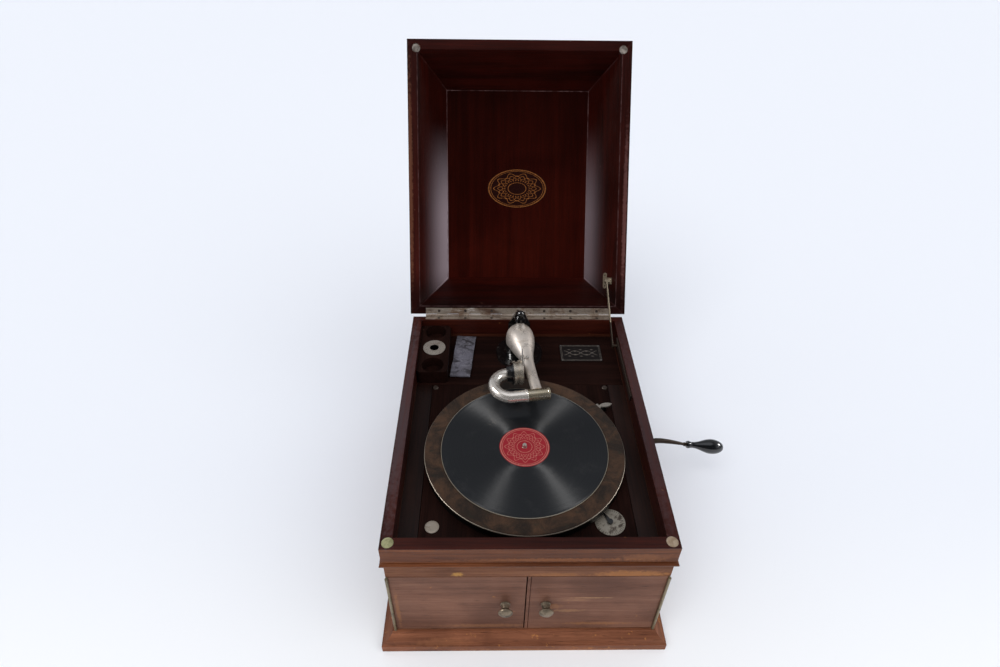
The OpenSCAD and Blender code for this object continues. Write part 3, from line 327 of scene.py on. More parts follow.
class Groups:
    """The effects that several materials use, each built once."""

    def __init__(self) -> None:
        """Build every group."""
        self.figure = self._group("wood_figure", ("Vector",), self._figure)
        self.scuffs = self._group("scuffs", ("Vector", "Scale", "Amount"), self._scuffs)
        self.pits = self._group("pits", ("Vector", "Scale", "Amount"), self._pits)
        self.patch = self._group("worn_or_sheen_patch", ("Vector", "Centre", "Reach"), self._patch)
        self.tarnish = self._group("tarnish", ("Vector", "Amount"), self._tarnish)

    @staticmethod
    def _group(name: str, takes: Sequence[str],
               build: Callable[[Tree, Mapping], Dict[str, Signal]]) -> bpy.types.NodeTree:
        """Make a node group.

        Args:
            name: The group's name.
            takes: Its inputs; those named here as places are vectors.
            build: Lays out the nodes and gives a signal for each output.

        Returns:
            The group.
        """
        group = bpy.data.node_groups.new(name, "ShaderNodeTree")
        for item in takes:
            kind = "NodeSocketVector" if item in ("Vector", "Centre", "Reach") else "NodeSocketFloat"
            group.interface.new_socket(name=item, in_out="INPUT", socket_type=kind)
        tree = Tree(group)
        result = build(tree, tree.outs(tree.add("NodeGroupInput")))
        for item in result:
            group.interface.new_socket(name=item, in_out="OUTPUT", socket_type="NodeSocketFloat")
        tree.add("NodeGroupOutput", result)
        return group

    @staticmethod
    def _figure(tree: Tree, given: Mapping) -> Dict[str, Signal]:
        """Long figure, short open pores and slow changes of tone, with the grain along X.

        Args:
            tree: The group's tree; not used.
            given: Its inputs by name.

        Returns:
            Its outputs by name.
        """
        along = given["Vector"]
        figure = along.placed((2.2, 46, 46)).noise(1.0, 4.0, 0.6, 0.8)
        fine = along.placed((14, 420, 420)).noise(1.0, 3.0, 0.6, 0.3)
        streaks = along.placed((55, 1500, 1500)).noise(1.0, 2.0, 0.5)
        return {"Figure": (figure * 0.62 + fine * 0.38).ramp(0.3, 0.72), "Pores": streaks.ramp(0.58, 0.72),
                "Cloud": along.noise(7.0, 3.0, 0.5, 0.4)}

    @staticmethod
    def _scuffs(tree: Tree, given: Mapping) -> Dict[str, Signal]:
        """Ragged places where the finish has rubbed through."""
        limit = 0.74 - given["Amount"] * 0.3
        return {"Mask": given["Vector"].noise(given["Scale"], 7.0, 0.68).ramp(limit, limit + 0.07)}

    @staticmethod
    def _pits(tree: Tree, given: Mapping) -> Dict[str, Signal]:
        """Small round pits and specks, crowded in some places.

        Args:
            tree: The group's tree.
            given: Its inputs by name.

        Returns:
            Its outputs by name.
        """
        at = {"Vector": given["Vector"], "Scale": given["Scale"]}
        cells = tree.out("ShaderNodeTexVoronoi", at, "Distance")
        size = given["Vector"].noise(55.0, 3.0, 0.6).ramp(0.42, 0.68) * given["Amount"]
        return {"Mask": cells.ramp(size, size * 0.5)}

    @staticmethod
    def _patch(tree: Tree, given: Mapping) -> Dict[str, Signal]:
        """One worn place, or one place of painted reflection, with a broken outline.

        Args:
            tree: The group's tree.
            given: Its inputs by name.

        Returns:
            Its outputs by name.
        """
        kind = "ShaderNodeVectorMath"
        off = tree.out(kind, {0: given["Vector"], 1: given["Centre"]}, operation="SUBTRACT")
        size = tree.out(kind, {0: off, 1: given["Reach"]}, operation="DIVIDE")
        far = tree.out(kind, {0: size}, "Value", operation="LENGTH")
        return {"Mask": (far + (given["Vector"].noise(160.0, 5.0, 0.65) - 0.5) * 1.6).ramp(1.0, 0.35)}

    @staticmethod
    def _tarnish(tree: Tree, given: Mapping) -> Dict[str, Signal]:
        """Dull clouds on old plating, with a fine speckle.

        Args:
            tree: The group's tree; not used.
            given: Its inputs by name.

        Returns:
            Its outputs by name.
        """
        cloud = given["Vector"].noise(38.0, 6.0, 0.62, 0.6)
        fine = given["Vector"].noise(700.0, 3.0, 0.6)
        limit = 0.72 - given["Amount"] * 0.36
        return {"Mask": (cloud * 0.75 + fine * 0.25).ramp(limit, limit + 0.16), "Fine": fine}


GROUPS = Groups()


@dataclass(frozen=True)
class Finish:
    """A look with a name, which makes one material."""

    name: str

    def edge(self) -> "Finish":
        """The same finish under another name, for rounded edges."""
        return replace(self, name=self.name + "_edge")

    def make(self) -> bpy.types.Material:
        """Build the material.

        Returns:
            The material.
        """
        material, tree = new_material(self.name)
        self.lay(tree)
        return material

    def lay(self, tree: Tree) -> None:
        """Lay out the material's nodes in its empty tree."""
        raise NotImplementedError


@dataclass(frozen=True)
class WearOrSheenPlace:
    """A place where a finish has worn, or where a reflection is painted on, in millimetres."""

    centre: Point
    reach: Point
    strength: float = 0.8
    tint: Optional[Colour] = None


@dataclass(frozen=True)
class WoodFinish(Finish):
    """Stained and polished mahogany."""

    dark: Colour
    light: Colour
    grain: Grain
    bare: Colour = srgb(176, 118, 66)
    skin: Skin = Skin.NONE
    faded_dark: Colour = srgb(96, 62, 48)
    faded_light: Colour = srgb(136, 98, 80)
    rub: float = 0.25
    rough: float = 0.42
    shine: float = 0.25
    # Levels of painted light inside the lid: near the hinge, far from it, and right at its foot.
    painted_light_levels: Tuple[float, ...] = ()
    places: Tuple[WearOrSheenPlace, ...] = ()
    seed: float = 0.0

    def edge(self) -> "WoodFinish":
        """The same wood where its edges are rubbed."""
        return replace(self, name=self.name + "_edge", rub=min(1.0, self.rub * 1.5 + 0.3))

    def lay(self, tree: Tree) -> None:
        """Lay figure, fading and pores, then scuffs and worn places, then the painted light and shade inside
        the lid.

        Args:
            tree: The material's tree.
        """
        on_lid = self.skin is Skin.LID or self.grain in (Grain.LID_MITRE, Grain.LID_LONG)
        where = tree.lid_where() if on_lid else tree.where()
        wood = tree.use(GROUPS.figure, Vector=self._along(tree, where))
        figure, pores, cloud = (wood[key] for key in ("Figure", "Pores", "Cloud"))
        colour = tree.mix(figure, self.dark, self.light)
        if self.skin is not Skin.NONE:
            faded = tree.mix(figure, self.faded_dark, self.faded_light)
            colour = tree.mix(self._outside(where), colour, faded)
        shade = tree.mix(cloud.ramp(0.3, 0.7), srgb(205, 200, 200), srgb(255, 252, 250))
        colour = tree.mix(1.0, colour, shade, "MULTIPLY")
        colour = tree.mix(pores * 0.55, colour, srgb(20, 8, 6))
        scuffs = tree.use(GROUPS.scuffs, Vector=where, Scale=70.0, Amount=self.rub)["Mask"]
        worn = scuffs * min(1.0, 0.45 + self.rub * 0.4)
        colour = tree.mix(worn, colour, self.bare)
        # Worn places; the two on the rim's sides are a painted reflection.
        for place in self.places:
            centre, reach = mm(*place.centre), mm(*place.reach)
            mask = tree.use(GROUPS.patch, Vector=where, Centre=centre, Reach=reach)["Mask"]
            broken = mask * figure.spread(place.strength, place.strength * 0.45)
            colour = tree.mix(broken, colour, place.tint or self.bare)
        if self.painted_light_levels:
            colour = self._paint_lid_light_and_shade(tree, where, colour)
        height = figure * 0.25 - pores - worn * 0.5
        tree.surface(Base_Color=colour, Specular_IOR_Level=self.shine, Normal=height.bump(0.35, 0.00025),
                     Roughness=cloud.spread(self.rough - 0.08, self.rough + 0.1) + worn * 0.22)

    def _paint_lid_light_and_shade(self, tree: Tree, where: Signal, colour: Signal) -> Signal:
        """Paint light, shade and a reflection inside the lid, and pale lines along its joints.

        Args:
            tree: The material's tree.
            where: Places in the lid's own frame.
            colour: The wood's colour.

        Returns:
            The shaded colour.
        """
        x, along, deep = where.parts()
        low, high, foot = self.painted_light_levels
        # Painted light and shade: lighter low down near the hinge, darker towards the top and right at the
        # hinge.
        level = along.ramp(0.02, 0.47).spread(low, high) * along.ramp(0.03, 0.09, foot, 1.0)
        colour = tree.mix(1.0, colour, tree.joined(level, level, level), "MULTIPLY")
        side = LID.width / 2 * MM - abs(x)
        far = LID.length * MM - along
        inner = side.least(far.least(along))
        # Painted reflection: a bluish-grey haze low on the side slopes, stronger on the left.
        slope = abs(deep + (side - LID.border * MM) * LID.steep).ramp(0.007, 0.004)
        slope = slope * side.ramp(0.0665, 0.0655)
        run = along.ramp(0.0, 0.09) * along.ramp(0.37, 0.17)
        climb = side.ramp(0.018, 0.064) ** x.ramp(-0.01, 0.01, 1.5, 3.2)
        film = climb * run * slope * x.ramp(-0.01, 0.01, 1.0, 0.5)
        colour = tree.mix(film, colour, srgb(158, 142, 148))
        # Pale lines along the joints: partly dust, partly a painted highlight.
        dust = where.noise(60.0, 5.0, 0.66, 0.2).ramp(0.38, 0.64, 0.08, 0.62)
        seam_dust_and_highlight = abs(inner - LID.inset * MM).ramp(0.001, 0.0005)
        for other in (far, along):
            mitre = abs(side - other).ramp(0.001, 0.0005) * inner.ramp(0.017, 0.018, 0.3, 0.6)
            seam_dust_and_highlight = seam_dust_and_highlight.most(mitre * inner.ramp(0.0655, 0.065))
        seam_dust_and_highlight = seam_dust_and_highlight.most(abs(inner - LID.border * MM).ramp(0.001, 0.0005) * 0.7)
        inside = slope.most(abs(deep + LID.depth * MM).ramp(0.003, 0.002), deep.ramp(-0.0015, -0.0005))
        return tree.mix(seam_dust_and_highlight * inside * dust, colour, srgb(104, 80, 80))

    def _along(self, tree: Tree, where: Signal) -> Signal:
        """Coordinates with the grain along X, each board with its own figure.

        Args:
            tree: The material's tree.
            where: Places on the piece.

        Returns:
            The coordinates.
        """
        x, y, z = where.parts()
        across = tree.joined(x + self.seed, y, z)
        deep = tree.joined(y + (self.seed + 1.7), x, z)
        if self.grain is Grain.ACROSS:
            return across
        if self.grain in (Grain.DEEP, Grain.LID_LONG):
            return deep
        on_lid = self.grain is Grain.LID_MITRE
        half_x, half_y = (LID.width / 2 * MM, LID.length / 2 * MM) if on_lid else CASE_HALF
        side = abs(x) - half_x
        end = abs(y - (LID.middle() if on_lid else 0.0)) - half_y
        return tree.out("ShaderNodeMix", {0: side.math("GREATER_THAN", end), 4: across, 5: deep}, 1,
                        data_type="VECTOR")

    def _outside(self, where: Signal) -> Signal:
        """1 on the faces that have faded in the light.

        Args:
            where: Places on the piece.

        Returns:
            The mask.
        """
        x, y, z = where.parts()
        if self.skin is Skin.CASE:
            ends = y.ramp(-0.2405, -0.2412).most(y.ramp(0.2415, 0.2425))
            return abs(x).ramp(0.1925, 0.1935).most(ends) * z.ramp(0.2475, 0.2462)
        inset = (LID.width / 2 * MM - abs(x)).least(LID.length / 2 * MM - abs(y - LID.middle()))
        high = z * -1.0
        inner = high * ((LID.inset - LID.border) / LID.depth) + LID.border * MM
        outer = (inset - inner).ramp(-0.0015, -0.003) * high.ramp(0.0006, 0.002)
        return outer.most(high.ramp(0.086, 0.09))


@dataclass(frozen=True)
class MetalFinish(Finish):
    """Plated or bare metal with its age."""

    colour: Colour
    stain: Colour
    rough: float = 0.24
    age: float = 0.4
    pitted: float = 0.3
    rust: Colour = srgb(92, 60, 42)
    polish: float = 0.8
    dark_below: float = 0.0
    shadow: Colour = srgb(14, 10, 9)
    streaks: float = 0.0

    def edge(self) -> "MetalFinish":
        """The same metal with its edges polished by wear."""
        return replace(self, name=self.name + "_edge", age=self.age * 0.5, rough=self.rough * 0.8)

    def lay(self, tree: Tree) -> None:
        """Lay tarnish and pits, then drawn streaks and the dark foot (painted shade on some parts) where
        there are any.

        Args:
            tree: The material's tree.
        """
        where = tree.where()
        aged = tree.use(GROUPS.tarnish, Vector=where, Amount=self.age)
        mask, fine = aged["Mask"], aged["Fine"]
        pits = tree.use(GROUPS.pits, Vector=where, Scale=620.0, Amount=self.pitted)["Mask"]
        colour = tree.mix(pits * 0.85, tree.mix(mask, self.colour, self.stain), self.rust)
        dull = (mask * 0.55).most(pits)
        if self.streaks:
            drawn = where.placed((0.3, 1.0, 1.4)).noise(66.0, 6.0, 0.68, 0.4)
            colour = tree.mix(drawn.ramp(0.5, 0.68, 0.0, self.streaks), colour, self.rust)
            colour = tree.mix(drawn.ramp(0.44, 0.34, 0.0, self.streaks), colour, srgb(228, 222, 216))
        # Dark below a set height: painted shade on the bell, the needle cups and the stay.
        # On the brake and the platter rim it is only a darker foot.
        if self.dark_below:
            low = where.parts()[2].ramp(self.dark_below * MM, (self.dark_below - 0.5) * MM)
            colour = tree.mix(low, colour, self.shadow)
        tree.surface(Base_Color=colour, Metallic=dull.spread(self.polish, self.polish * 0.5),
                     Roughness=dull.spread(self.rough, min(0.85, self.rough + 0.38)) + (fine - 0.5) * 0.12,
                     Normal=(fine * 0.2 - pits).bump(0.3, 0.00012))


@dataclass(frozen=True)
class LacquerFinish(Finish):
    """Glossy black enamel or varnished black wood, with dust and small nicks."""

    colour: Colour = srgb(13, 12, 13)
    dust: Colour = srgb(66, 58, 50)
    rough: float = 0.16
    wear: float = 0.22
    under: Colour = srgb(84, 66, 50)

    def edge(self) -> "LacquerFinish":
        """The same enamel where its edges are chipped."""
        return replace(self, name=self.name + "_edge", wear=self.wear + 0.25)

    def lay(self, tree: Tree) -> None:
        """Lay the enamel with its film of dust and its chips.

        Args:
            tree: The material's tree.
        """
        where = tree.where()
        film = where.noise(90.0, 6.0, 0.65).ramp(0.5, 0.75)
        chips = tree.use(GROUPS.scuffs, Vector=where, Scale=240.0, Amount=self.wear)["Mask"]
        colour = tree.mix(chips * 0.7, tree.mix(film * 0.25, self.colour, self.dust), self.under)
        tree.surface(Base_Color=colour, Roughness=film.spread(self.rough, self.rough + 0.2) + chips * 0.3,
                     Normal=chips.bump(0.2, -0.00015), Specular_IOR_Level=0.55, Coat_Weight=0.5,
                     Coat_Roughness=0.08)


@dataclass(frozen=True)
class FeltFinish(Finish):
    """Matted wool cloth or a felt pad, faded in patches."""

    dark: Colour
    light: Colour
    stain: Colour
    blotch: float = 26.0

    def lay(self, tree: Tree) -> None:
        """Lay clouds of fading, spots and fine fibres.

        Args:
            tree: The material's tree.
        """
        where = tree.where()
        cloud = where.noise(self.blotch, 6.0, 0.7, 0.5).ramp(0.35, 0.68)
        fibre = where.noise(1600.0, 4.0, 0.7, 1.5)
        spots = where.noise(self.blotch * 3.6, 5.0, 0.7).ramp(0.56, 0.72)
        colour = tree.mix(spots * 0.7, tree.mix(cloud, self.dark, self.light), self.stain)
        colour = tree.mix(fibre.spread(0.0, 0.35), colour, self.dark)
        tree.surface(Base_Color=colour, Roughness=fibre.spread(0.85, 1.0), Specular_IOR_Level=0.1,
                     Normal=(fibre + cloud * 0.6).bump(0.7, 0.0004), Sheen_Weight=0.15)


@dataclass(frozen=True)
class ShellacFinish(Finish):
    """Pressed black disc whose grooves throw long highlights towards its middle."""

    name: str = "shellac_disc"
    colour: Colour = srgb(15, 17, 20)
    dust: Colour = srgb(74, 72, 72)

    def lay(self, tree: Tree) -> None:
        """Lay bands of groove round the spindle, dust, scuffs and a painted highlight on the lip.

        Args:
            tree: The material's tree.
        """
        where = tree.where().placed(move=-mm(*SPINDLE, 0))
        x, y, _ = where.parts()
        radius = x.far(y)
        bands = tree.joined(radius * 900.0, 0.0, 0.0).noise(1.0, 3.0, 0.6)
        film = where.noise(34.0, 6.0, 0.66, 0.4).ramp(0.52, 0.78)
        marks = tree.use(GROUPS.scuffs, Vector=where, Scale=150.0, Amount=0.12)["Mask"]
        # Painted highlight: a pale ring along the disc's edge.
        lip = radius.ramp(0.1258, 0.1264) * radius.ramp(0.1272, 0.1268)
        colour = tree.mix(marks * 0.4, tree.mix(film * 0.16, self.colour, self.dust), self.dust)
        colour = tree.mix(lip * 0.45, colour, srgb(168, 156, 136))
        grooves = tree.out("ShaderNodeTangent", direction_type="RADIAL", axis="Z")
        tree.surface(Base_Color=colour, Roughness=bands.spread(0.46, 0.56) + film * 0.05,
                     Normal=bands.bump(0.12, 0.00012), Specular_IOR_Level=bands.spread(0.5, 0.22),
                     Anisotropic=1.0, Tangent=grooves, Coat_Weight=0.35, Coat_Roughness=0.14)


@dataclass(frozen=True)
class RosetteFinish(Finish):
    """Printed paper or transfer: rings and a petalled rosette in gold."""

    ground: Colour
    ink: Colour
    centre: Point
    half: Tuple[float, float]
    petals: float = 8.0
    rings: Tuple[Tuple[float, float], ...] = ((0.95, 0.02), (0.88, 0.009), (0.3, 0.012))
    shine: float = 0.2
    on_lid: bool = False
    fade: float = 0.3

    def lay(self, tree: Tree) -> None:
        """Draw rings, three petalled lines and a ring of dots, and rub them thin.

        Args:
            tree: The material's tree.
        """
        where = tree.lid_where() if self.on_lid else tree.where()
        x, y, _ = where.placed(move=-mm(*self.centre)).parts()
        across, along = (v.math("DIVIDE", half * MM) for v, half in zip((x, y), self.half))
        radius = across.far(along)
        angle = along.math("ARCTAN2", across)
        wave = (angle * self.petals).math("COSINE") * 0.085
        dots = radius.line(0.42, 0.03) * (angle * (self.petals * 3)).math("COSINE").ramp(0.2, 0.6)
        petals = [(radius - wave * way).line(base, 0.014)
                  for base, way in ((0.56, 1.0), (0.56, -1.0), (0.7, 1.0))]
        drawn = dots.most(*(radius.line(*ring) for ring in self.rings), *petals)
        rubbed = where.noise(420.0, 4.0, 0.65).ramp(0.5 - self.fade * 0.5, 0.62)
        drawn = drawn * rubbed.spread(1.0, 1.0 - self.fade)
        cloud = where.noise(95.0, 5.0, 0.6)
        shade = tree.mix(cloud, srgb(225, 222, 222), srgb(255, 255, 255))
        ground = tree.mix(1.0, self.ground, shade, "MULTIPLY")
        tree.surface(Base_Color=tree.mix(drawn, ground, self.ink), Roughness=cloud.spread(0.42, 0.62),
                     Specular_IOR_Level=self.shine, Normal=drawn.bump(0.15, 0.00008))


@dataclass(frozen=True)
class PaperFinish(Finish):
    """Crumpled waxed paper, greyish, with a painted highlight along its creases."""

    name: str = "waxed_paper"
    dark: Colour = srgb(46, 43, 47)
    light: Colour = srgb(98, 96, 106)

    def lay(self, tree: Tree) -> None:
        """Lay soft folds with bright creases across and dark strips along.

        Args:
            Lay soft folds with a painted highlight on the creases across and dark strips along.
        """
        where = tree.where()
        bent = where.noise(40.0, 3.0, 0.5)
        across = where.placed((0.55, 1.2, 1.0)).noise(60.0, 4.0, 0.6, 1.6)
        along = where.placed((1.6, 0.3, 1.0)).noise(120.0, 3.0, 0.5, 0.8)
        creases, strips = abs(across - 0.5).ramp(0.035, 0.0), abs(along - 0.5).ramp(0.02, 0.0)
        colour = tree.mix(((bent + across) * 0.5).ramp(0.36, 0.64), self.dark, self.light)
        # Painted highlight: pale lines along the creases.
        colour = tree.mix(creases * 0.22, colour, srgb(176, 174, 184))
        colour = tree.mix(strips * 0.2, colour, srgb(60, 52, 56))
        tree.surface(Base_Color=colour, Roughness=bent.spread(0.3, 0.5), Specular_IOR_Level=0.5,
                     Normal=(across + along * 0.6).bump(0.6, 0.002))


@dataclass(frozen=True)
class DialFinish(Finish):
    """Worn plated dial with a ring of fine marks."""

    name: str = "speed_dial"
    centre: Point = (116.4, -178.5, 211.0)
    radius: float = 21.5
    plate: Colour = srgb(168, 160, 146)
    stain: Colour = srgb(66, 56, 48)
    ink: Colour = srgb(26, 22, 20)

    def lay(self, tree: Tree) -> None:
        """Lay the worn plate with marks near its rim.

        Args:
            tree: The material's tree.
        """
        where = tree.where()
        x, y, _ = where.placed(move=-mm(*self.centre)).parts()
        radius = x.far(y).math("DIVIDE", self.radius * MM)
        marks = (y.math("ARCTAN2", x) * 40.0).math("COSINE").ramp(0.7, 0.95)
        band = radius.ramp(0.8, 0.82) * radius.ramp(0.95, 0.93)
        cloud = where.noise(85.0, 6.0, 0.7, 0.4)
        worn = cloud.ramp(0.47, 0.62)
        ink = marks * band * cloud.ramp(0.62, 0.5, 0.3, 1.0)
        tree.surface(Base_Color=tree.mix(ink, tree.mix(worn, self.plate, self.stain), self.ink),
                     Metallic=worn.spread(0.85, 0.35), Roughness=worn.spread(0.34, 0.6),
                     Normal=cloud.bump(0.2, 0.0002))


@dataclass(frozen=True)
class NameplateFinish(Finish):
    """Blackened plate with a bright double border, crossed waves and beads."""

    name: str = "name_plate"
    centre: Point = PLATE_AT
    half: Tuple[float, float] = (38.0, 22.5)
    ground: Colour = srgb(24, 20, 19)
    bright: Colour = srgb(138, 130, 122)

    def lay(self, tree: Tree) -> None:
        """Draw the border, two crossed waves and the beads, and rub them thin.

        Args:
            tree: The material's tree.
        """
        where = tree.where()
        x, y, _ = where.placed(move=-mm(*self.centre)).parts()
        wide, deep = abs(x), abs(y)
        inset = (self.half[0] * MM - wide).least(self.half[1] * MM - deep)
        wave = (x * 150.0).math("SINE")
        curls = [(y - wave * (swing * MM)).line(0.0, 0.0005) * wide.ramp(0.031, 0.029)
                 for swing in (6.0, -6.0)]
        lattice = (x * 300.0).math("COSINE") * (y * 700.0).math("COSINE")
        beads = lattice.ramp(0.6, 0.85) * wide.ramp(0.03, 0.028) * deep.ramp(0.013, 0.012) * 0.75
        drawn = (inset.line(0.0016, 0.0003) * 0.8).most(inset.line(0.0036, 0.00025), *curls, beads)
        drawn = drawn * where.noise(260.0, 5.0, 0.7).ramp(0.6, 0.42).spread(0.55, 1.0)
        cloud = where.noise(120.0, 5.0, 0.6)
        tree.surface(Base_Color=tree.mix(drawn, self.ground, self.bright), Metallic=drawn.spread(0.3, 0.5),
                     Roughness=cloud.spread(0.3, 0.5), Normal=drawn.bump(0.4, 0.0002))


class Bench:
    """The modelling steps that the pieces share."""

    @staticmethod
    def clear() -> None:
        """Leave edit mode with nothing selected."""
        if bpy.context.object and bpy.context.object.mode != "OBJECT":
            bpy.ops.object.mode_set(mode="OBJECT")
        bpy.ops.object.select_all(action="DESELECT")

    @classmethod
    def only(cls, piece: Piece) -> None:
        """Select one piece and make it active.

        Args:
            piece: The piece.
        """
        cls.clear()
        piece.select_set(True)
        bpy.context.view_layer.objects.active = piece

    @classmethod
    def edit(cls, piece: Piece) -> None:
        """Open a piece in edit mode with everything selected.

        Args:
            piece: The piece.
        """
        cls.only(piece)
        bpy.ops.object.mode_set(mode="EDIT")
        bpy.ops.mesh.select_mode(type="VERT")
        bpy.ops.mesh.select_all(action="SELECT")

    @classmethod
    def settle(cls, piece: Piece, pose: Optional[Matrix] = None) -> None:
        """Move a piece by a pose, then put its place into its mesh.

        Args:
            piece: The piece.
            pose: Where it goes from where it is.
        """
        cls.clear()
        if pose is not None:
            piece.matrix_world = pose @ piece.matrix_world
        cls.only(piece)
        bpy.ops.object.transform_apply(location=True, rotation=True, scale=True)

    @classmethod
    def apply(cls, piece: Piece, kind: str, **settings: object) -> None:
        """Add a modifier with its settings and apply it.

        Args:
            piece: The piece.
            kind: The modifier's type.
            **settings: Its settings.
        """
        cls.only(piece)
        modifier = piece.modifiers.new(kind.lower(), kind)
        for key, value in settings.items():
            setattr(modifier, key, value)
        bpy.ops.object.modifier_apply(modifier=modifier.name)

    @classmethod
    def smooth(cls, piece: Piece, angle: float = 35.0) -> None:
        """Shade a piece smooth up to an angle, and keep its flats flat.

        Args:
            piece: The piece.
            angle: The angle in degrees.
        """
        cls.only(piece)
        bpy.ops.object.shade_smooth_by_angle(angle=math.radians(angle))
        cls.apply(piece, "WEIGHTED_NORMAL", keep_sharp=True)

    @classmethod
    def ruffle(cls, piece: Piece, by: float, seed: int) -> None:
        """Move each point of a piece a little at random, by a distance in metres.

        Args:
            piece: The piece.
            by: The longest move.
            seed: The seed of the random draws.
        """
        cls.edit(piece)
        bpy.ops.transform.vertex_random(offset=by, seed=seed)
        cls.clear()

    @classmethod
    def turned(cls, name: str, profile: Profile, foot: Vector, axis: Vector = Vector((0, 0, 1)),
               steps: int = 48, closed: bool = False) -> Piece:
        """Turn a piece on its axis from a drawn profile.

        Args:
            name: The piece's name.
            profile: Radius and height of each point, in millimetres.
            foot: Where height 0 is on the axis, in metres.
            axis: The axis, a unit vector.
            steps: How many steps go round.
            closed: Whether the profile goes back to its first point.

        Returns:
            The piece.
        """
        cls.clear()
        out = axis.orthogonal().normalized()
        spots = [foot + out * (r * MM) + axis * (h * MM) for r, h in profile]
        bpy.ops.mesh.primitive_plane_add(size=0.001, location=(0, 0, 0))
        piece = bpy.context.object
        piece.name = name
        cls.edit(piece)
        bpy.ops.mesh.merge(type="CENTER")
        bpy.ops.transform.translate(value=spots[0])
        for before, after in zip(spots, spots[1:] + spots[:closed]):
            bpy.ops.mesh.extrude_region_move(TRANSFORM_OT_translate={"value": after - before})
        bpy.ops.mesh.select_all(action="SELECT")
        bpy.ops.mesh.spin(steps=steps, angle=2 * math.pi, center=foot, axis=axis)
        bpy.ops.mesh.select_all(action="SELECT")
        bpy.ops.mesh.remove_doubles(threshold=MERGE)
        bpy.ops.mesh.normals_make_consistent(inside=False)
        cls.clear()
        cls.smooth(piece)
        return piece

    @classmethod
    def joined(cls, pieces: Sequence[Piece], name: str) -> Piece:
        """Join pieces into one, under a name.

        Args:
            pieces: The pieces.
            name: The joined piece's name.

        Returns:
            The joined piece.
        """
        cls.clear()
        for piece in pieces:
            piece.select_set(True)
        bpy.context.view_layer.objects.active = pieces[0]
        bpy.ops.object.join()
        pieces[0].name = name
        return pieces[0]

    @classmethod
    def eased(cls, node: str, width: float) -> Piece:
        """Copy a frame node, merge its faces and round its edges.

        Args:
            node: The node.
            width: The width of the rounded edges, in millimetres, or 0 for none.

        Returns:
            The copy, whose rounded edges use its second material.
        """
        cls.clear()
        piece = bpy.data.objects.new(node + "_shaped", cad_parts[node].data.copy())
        bpy.context.scene.collection.objects.link(piece)
        cls.only(piece)
        bpy.ops.mesh.customdata_custom_splitnormals_clear()
        cls.edit(piece)
        bpy.ops.mesh.remove_doubles(threshold=MERGE)
        bpy.ops.mesh.dissolve_limited(angle_limit=math.radians(FLAT_ANGLE))
        cls.clear()
        if width:
            cls.apply(piece, "BEVEL", width=width * MM, segments=2, limit_method="ANGLE",
                      angle_limit=math.radians(EDGE_ANGLE), material=1, use_clamp_overlap=True)
        cls.smooth(piece, EDGE_ANGLE + 4)
        return piece


class Wardrobe:
    """Makes each finish once and gives pieces and nodes to the frame with it."""

    def __init__(self) -> None:
        """Start with no finish made."""
        self.made: Dict[str, bpy.types.Material] = {}

    def get(self, finish: Finish) -> bpy.types.Material:
        """The material of a finish.

        Args:
            finish: The finish.

        Returns:
            Its material, made on first use.
        """
        if finish.name not in self.made:
            self.made[finish.name] = finish.make()
        return self.made[finish.name]

    def give(self, piece: Piece, body: str, slot: str, finish: Finish, *nodes: str,
             edges: bool = False) -> Piece:
        """Dress a piece and hand it to the frame.

        Args:
            piece: The piece, in place.
            body: The body that it rides on.
            slot: A material slot's name; not used.
            finish: Its finish.
            *nodes: The frame nodes that it stands for.
            edges: Whether its second material is the finish's own edge.

        Returns:
            The piece.
        """
        piece.data.materials.clear()
        piece.data.materials.append(self.get(finish))
        if edges:
            piece.data.materials.append(self.get(finish.edge()))
        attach(piece, body)
        if nodes:
            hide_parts(*nodes)
        log.info("%s rides on %s in %s", piece.name, body, finish.name)
        return piece

    def ease(self, body: str, *rows: Tuple[str, str, Finish, float]) -> Piece:
        """Replace nodes of a body with eased copies.

        Args:
            body: The body.
            *rows: Node, slot, finish and width of the rounded edges, for each.

        Returns:
            The last copy.
        """
        for node, slot, finish, width in rows:
            piece = self.give(Bench.eased(node, width), body, slot, finish, node, edges=width > 0)
        return piece

    def paint(self, finish: Finish, *nodes: str) -> None:
        """Give frame nodes that stay a better material.

        Args:
            finish: Their finish.
            *nodes: The nodes.
        """
        for node in nodes:
            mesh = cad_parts[node].data
            mesh.materials.clear()
            mesh.materials.append(self.get(finish))
            log.info("%s keeps its shape in %s", node, finish.name)

    def pads(self, name: str, body: str, node: str, profile: Profile, z: float, finishes: Sequence[Finish],
             steps: int, by: float, seed: int, pose: Optional[Matrix] = None) -> None:
        """Make the left and right pad of a pair.

        Args:
            name: What the pads' names start with.
            body: The body that they ride on.
            node: The frame node that they stand for.
            profile: Radius and height of each point, in millimetres.
            z: The height of their feet, in millimetres.
            finishes: The left pad's finish and the right one's.
            steps: How many steps go round.
            by: How uneven they are, in metres.
            seed: The number midway between their two seeds.
            pose: Where they go from there.
        """
        for side, word, finish in zip((-1, 1), ("left", "right"), finishes):
            foot = mm(side * PAD_AT[0], PAD_AT[1], z)
            pad = Bench.turned(f"{name}_{word}", profile, foot, steps=steps)
            Bench.ruffle(pad, by, seed + side)
            if pose is not None:
                Bench.settle(pad, pose)
            self.give(pad, body, "pad_felt", finish, node)


WARDROBE = Wardrobe()

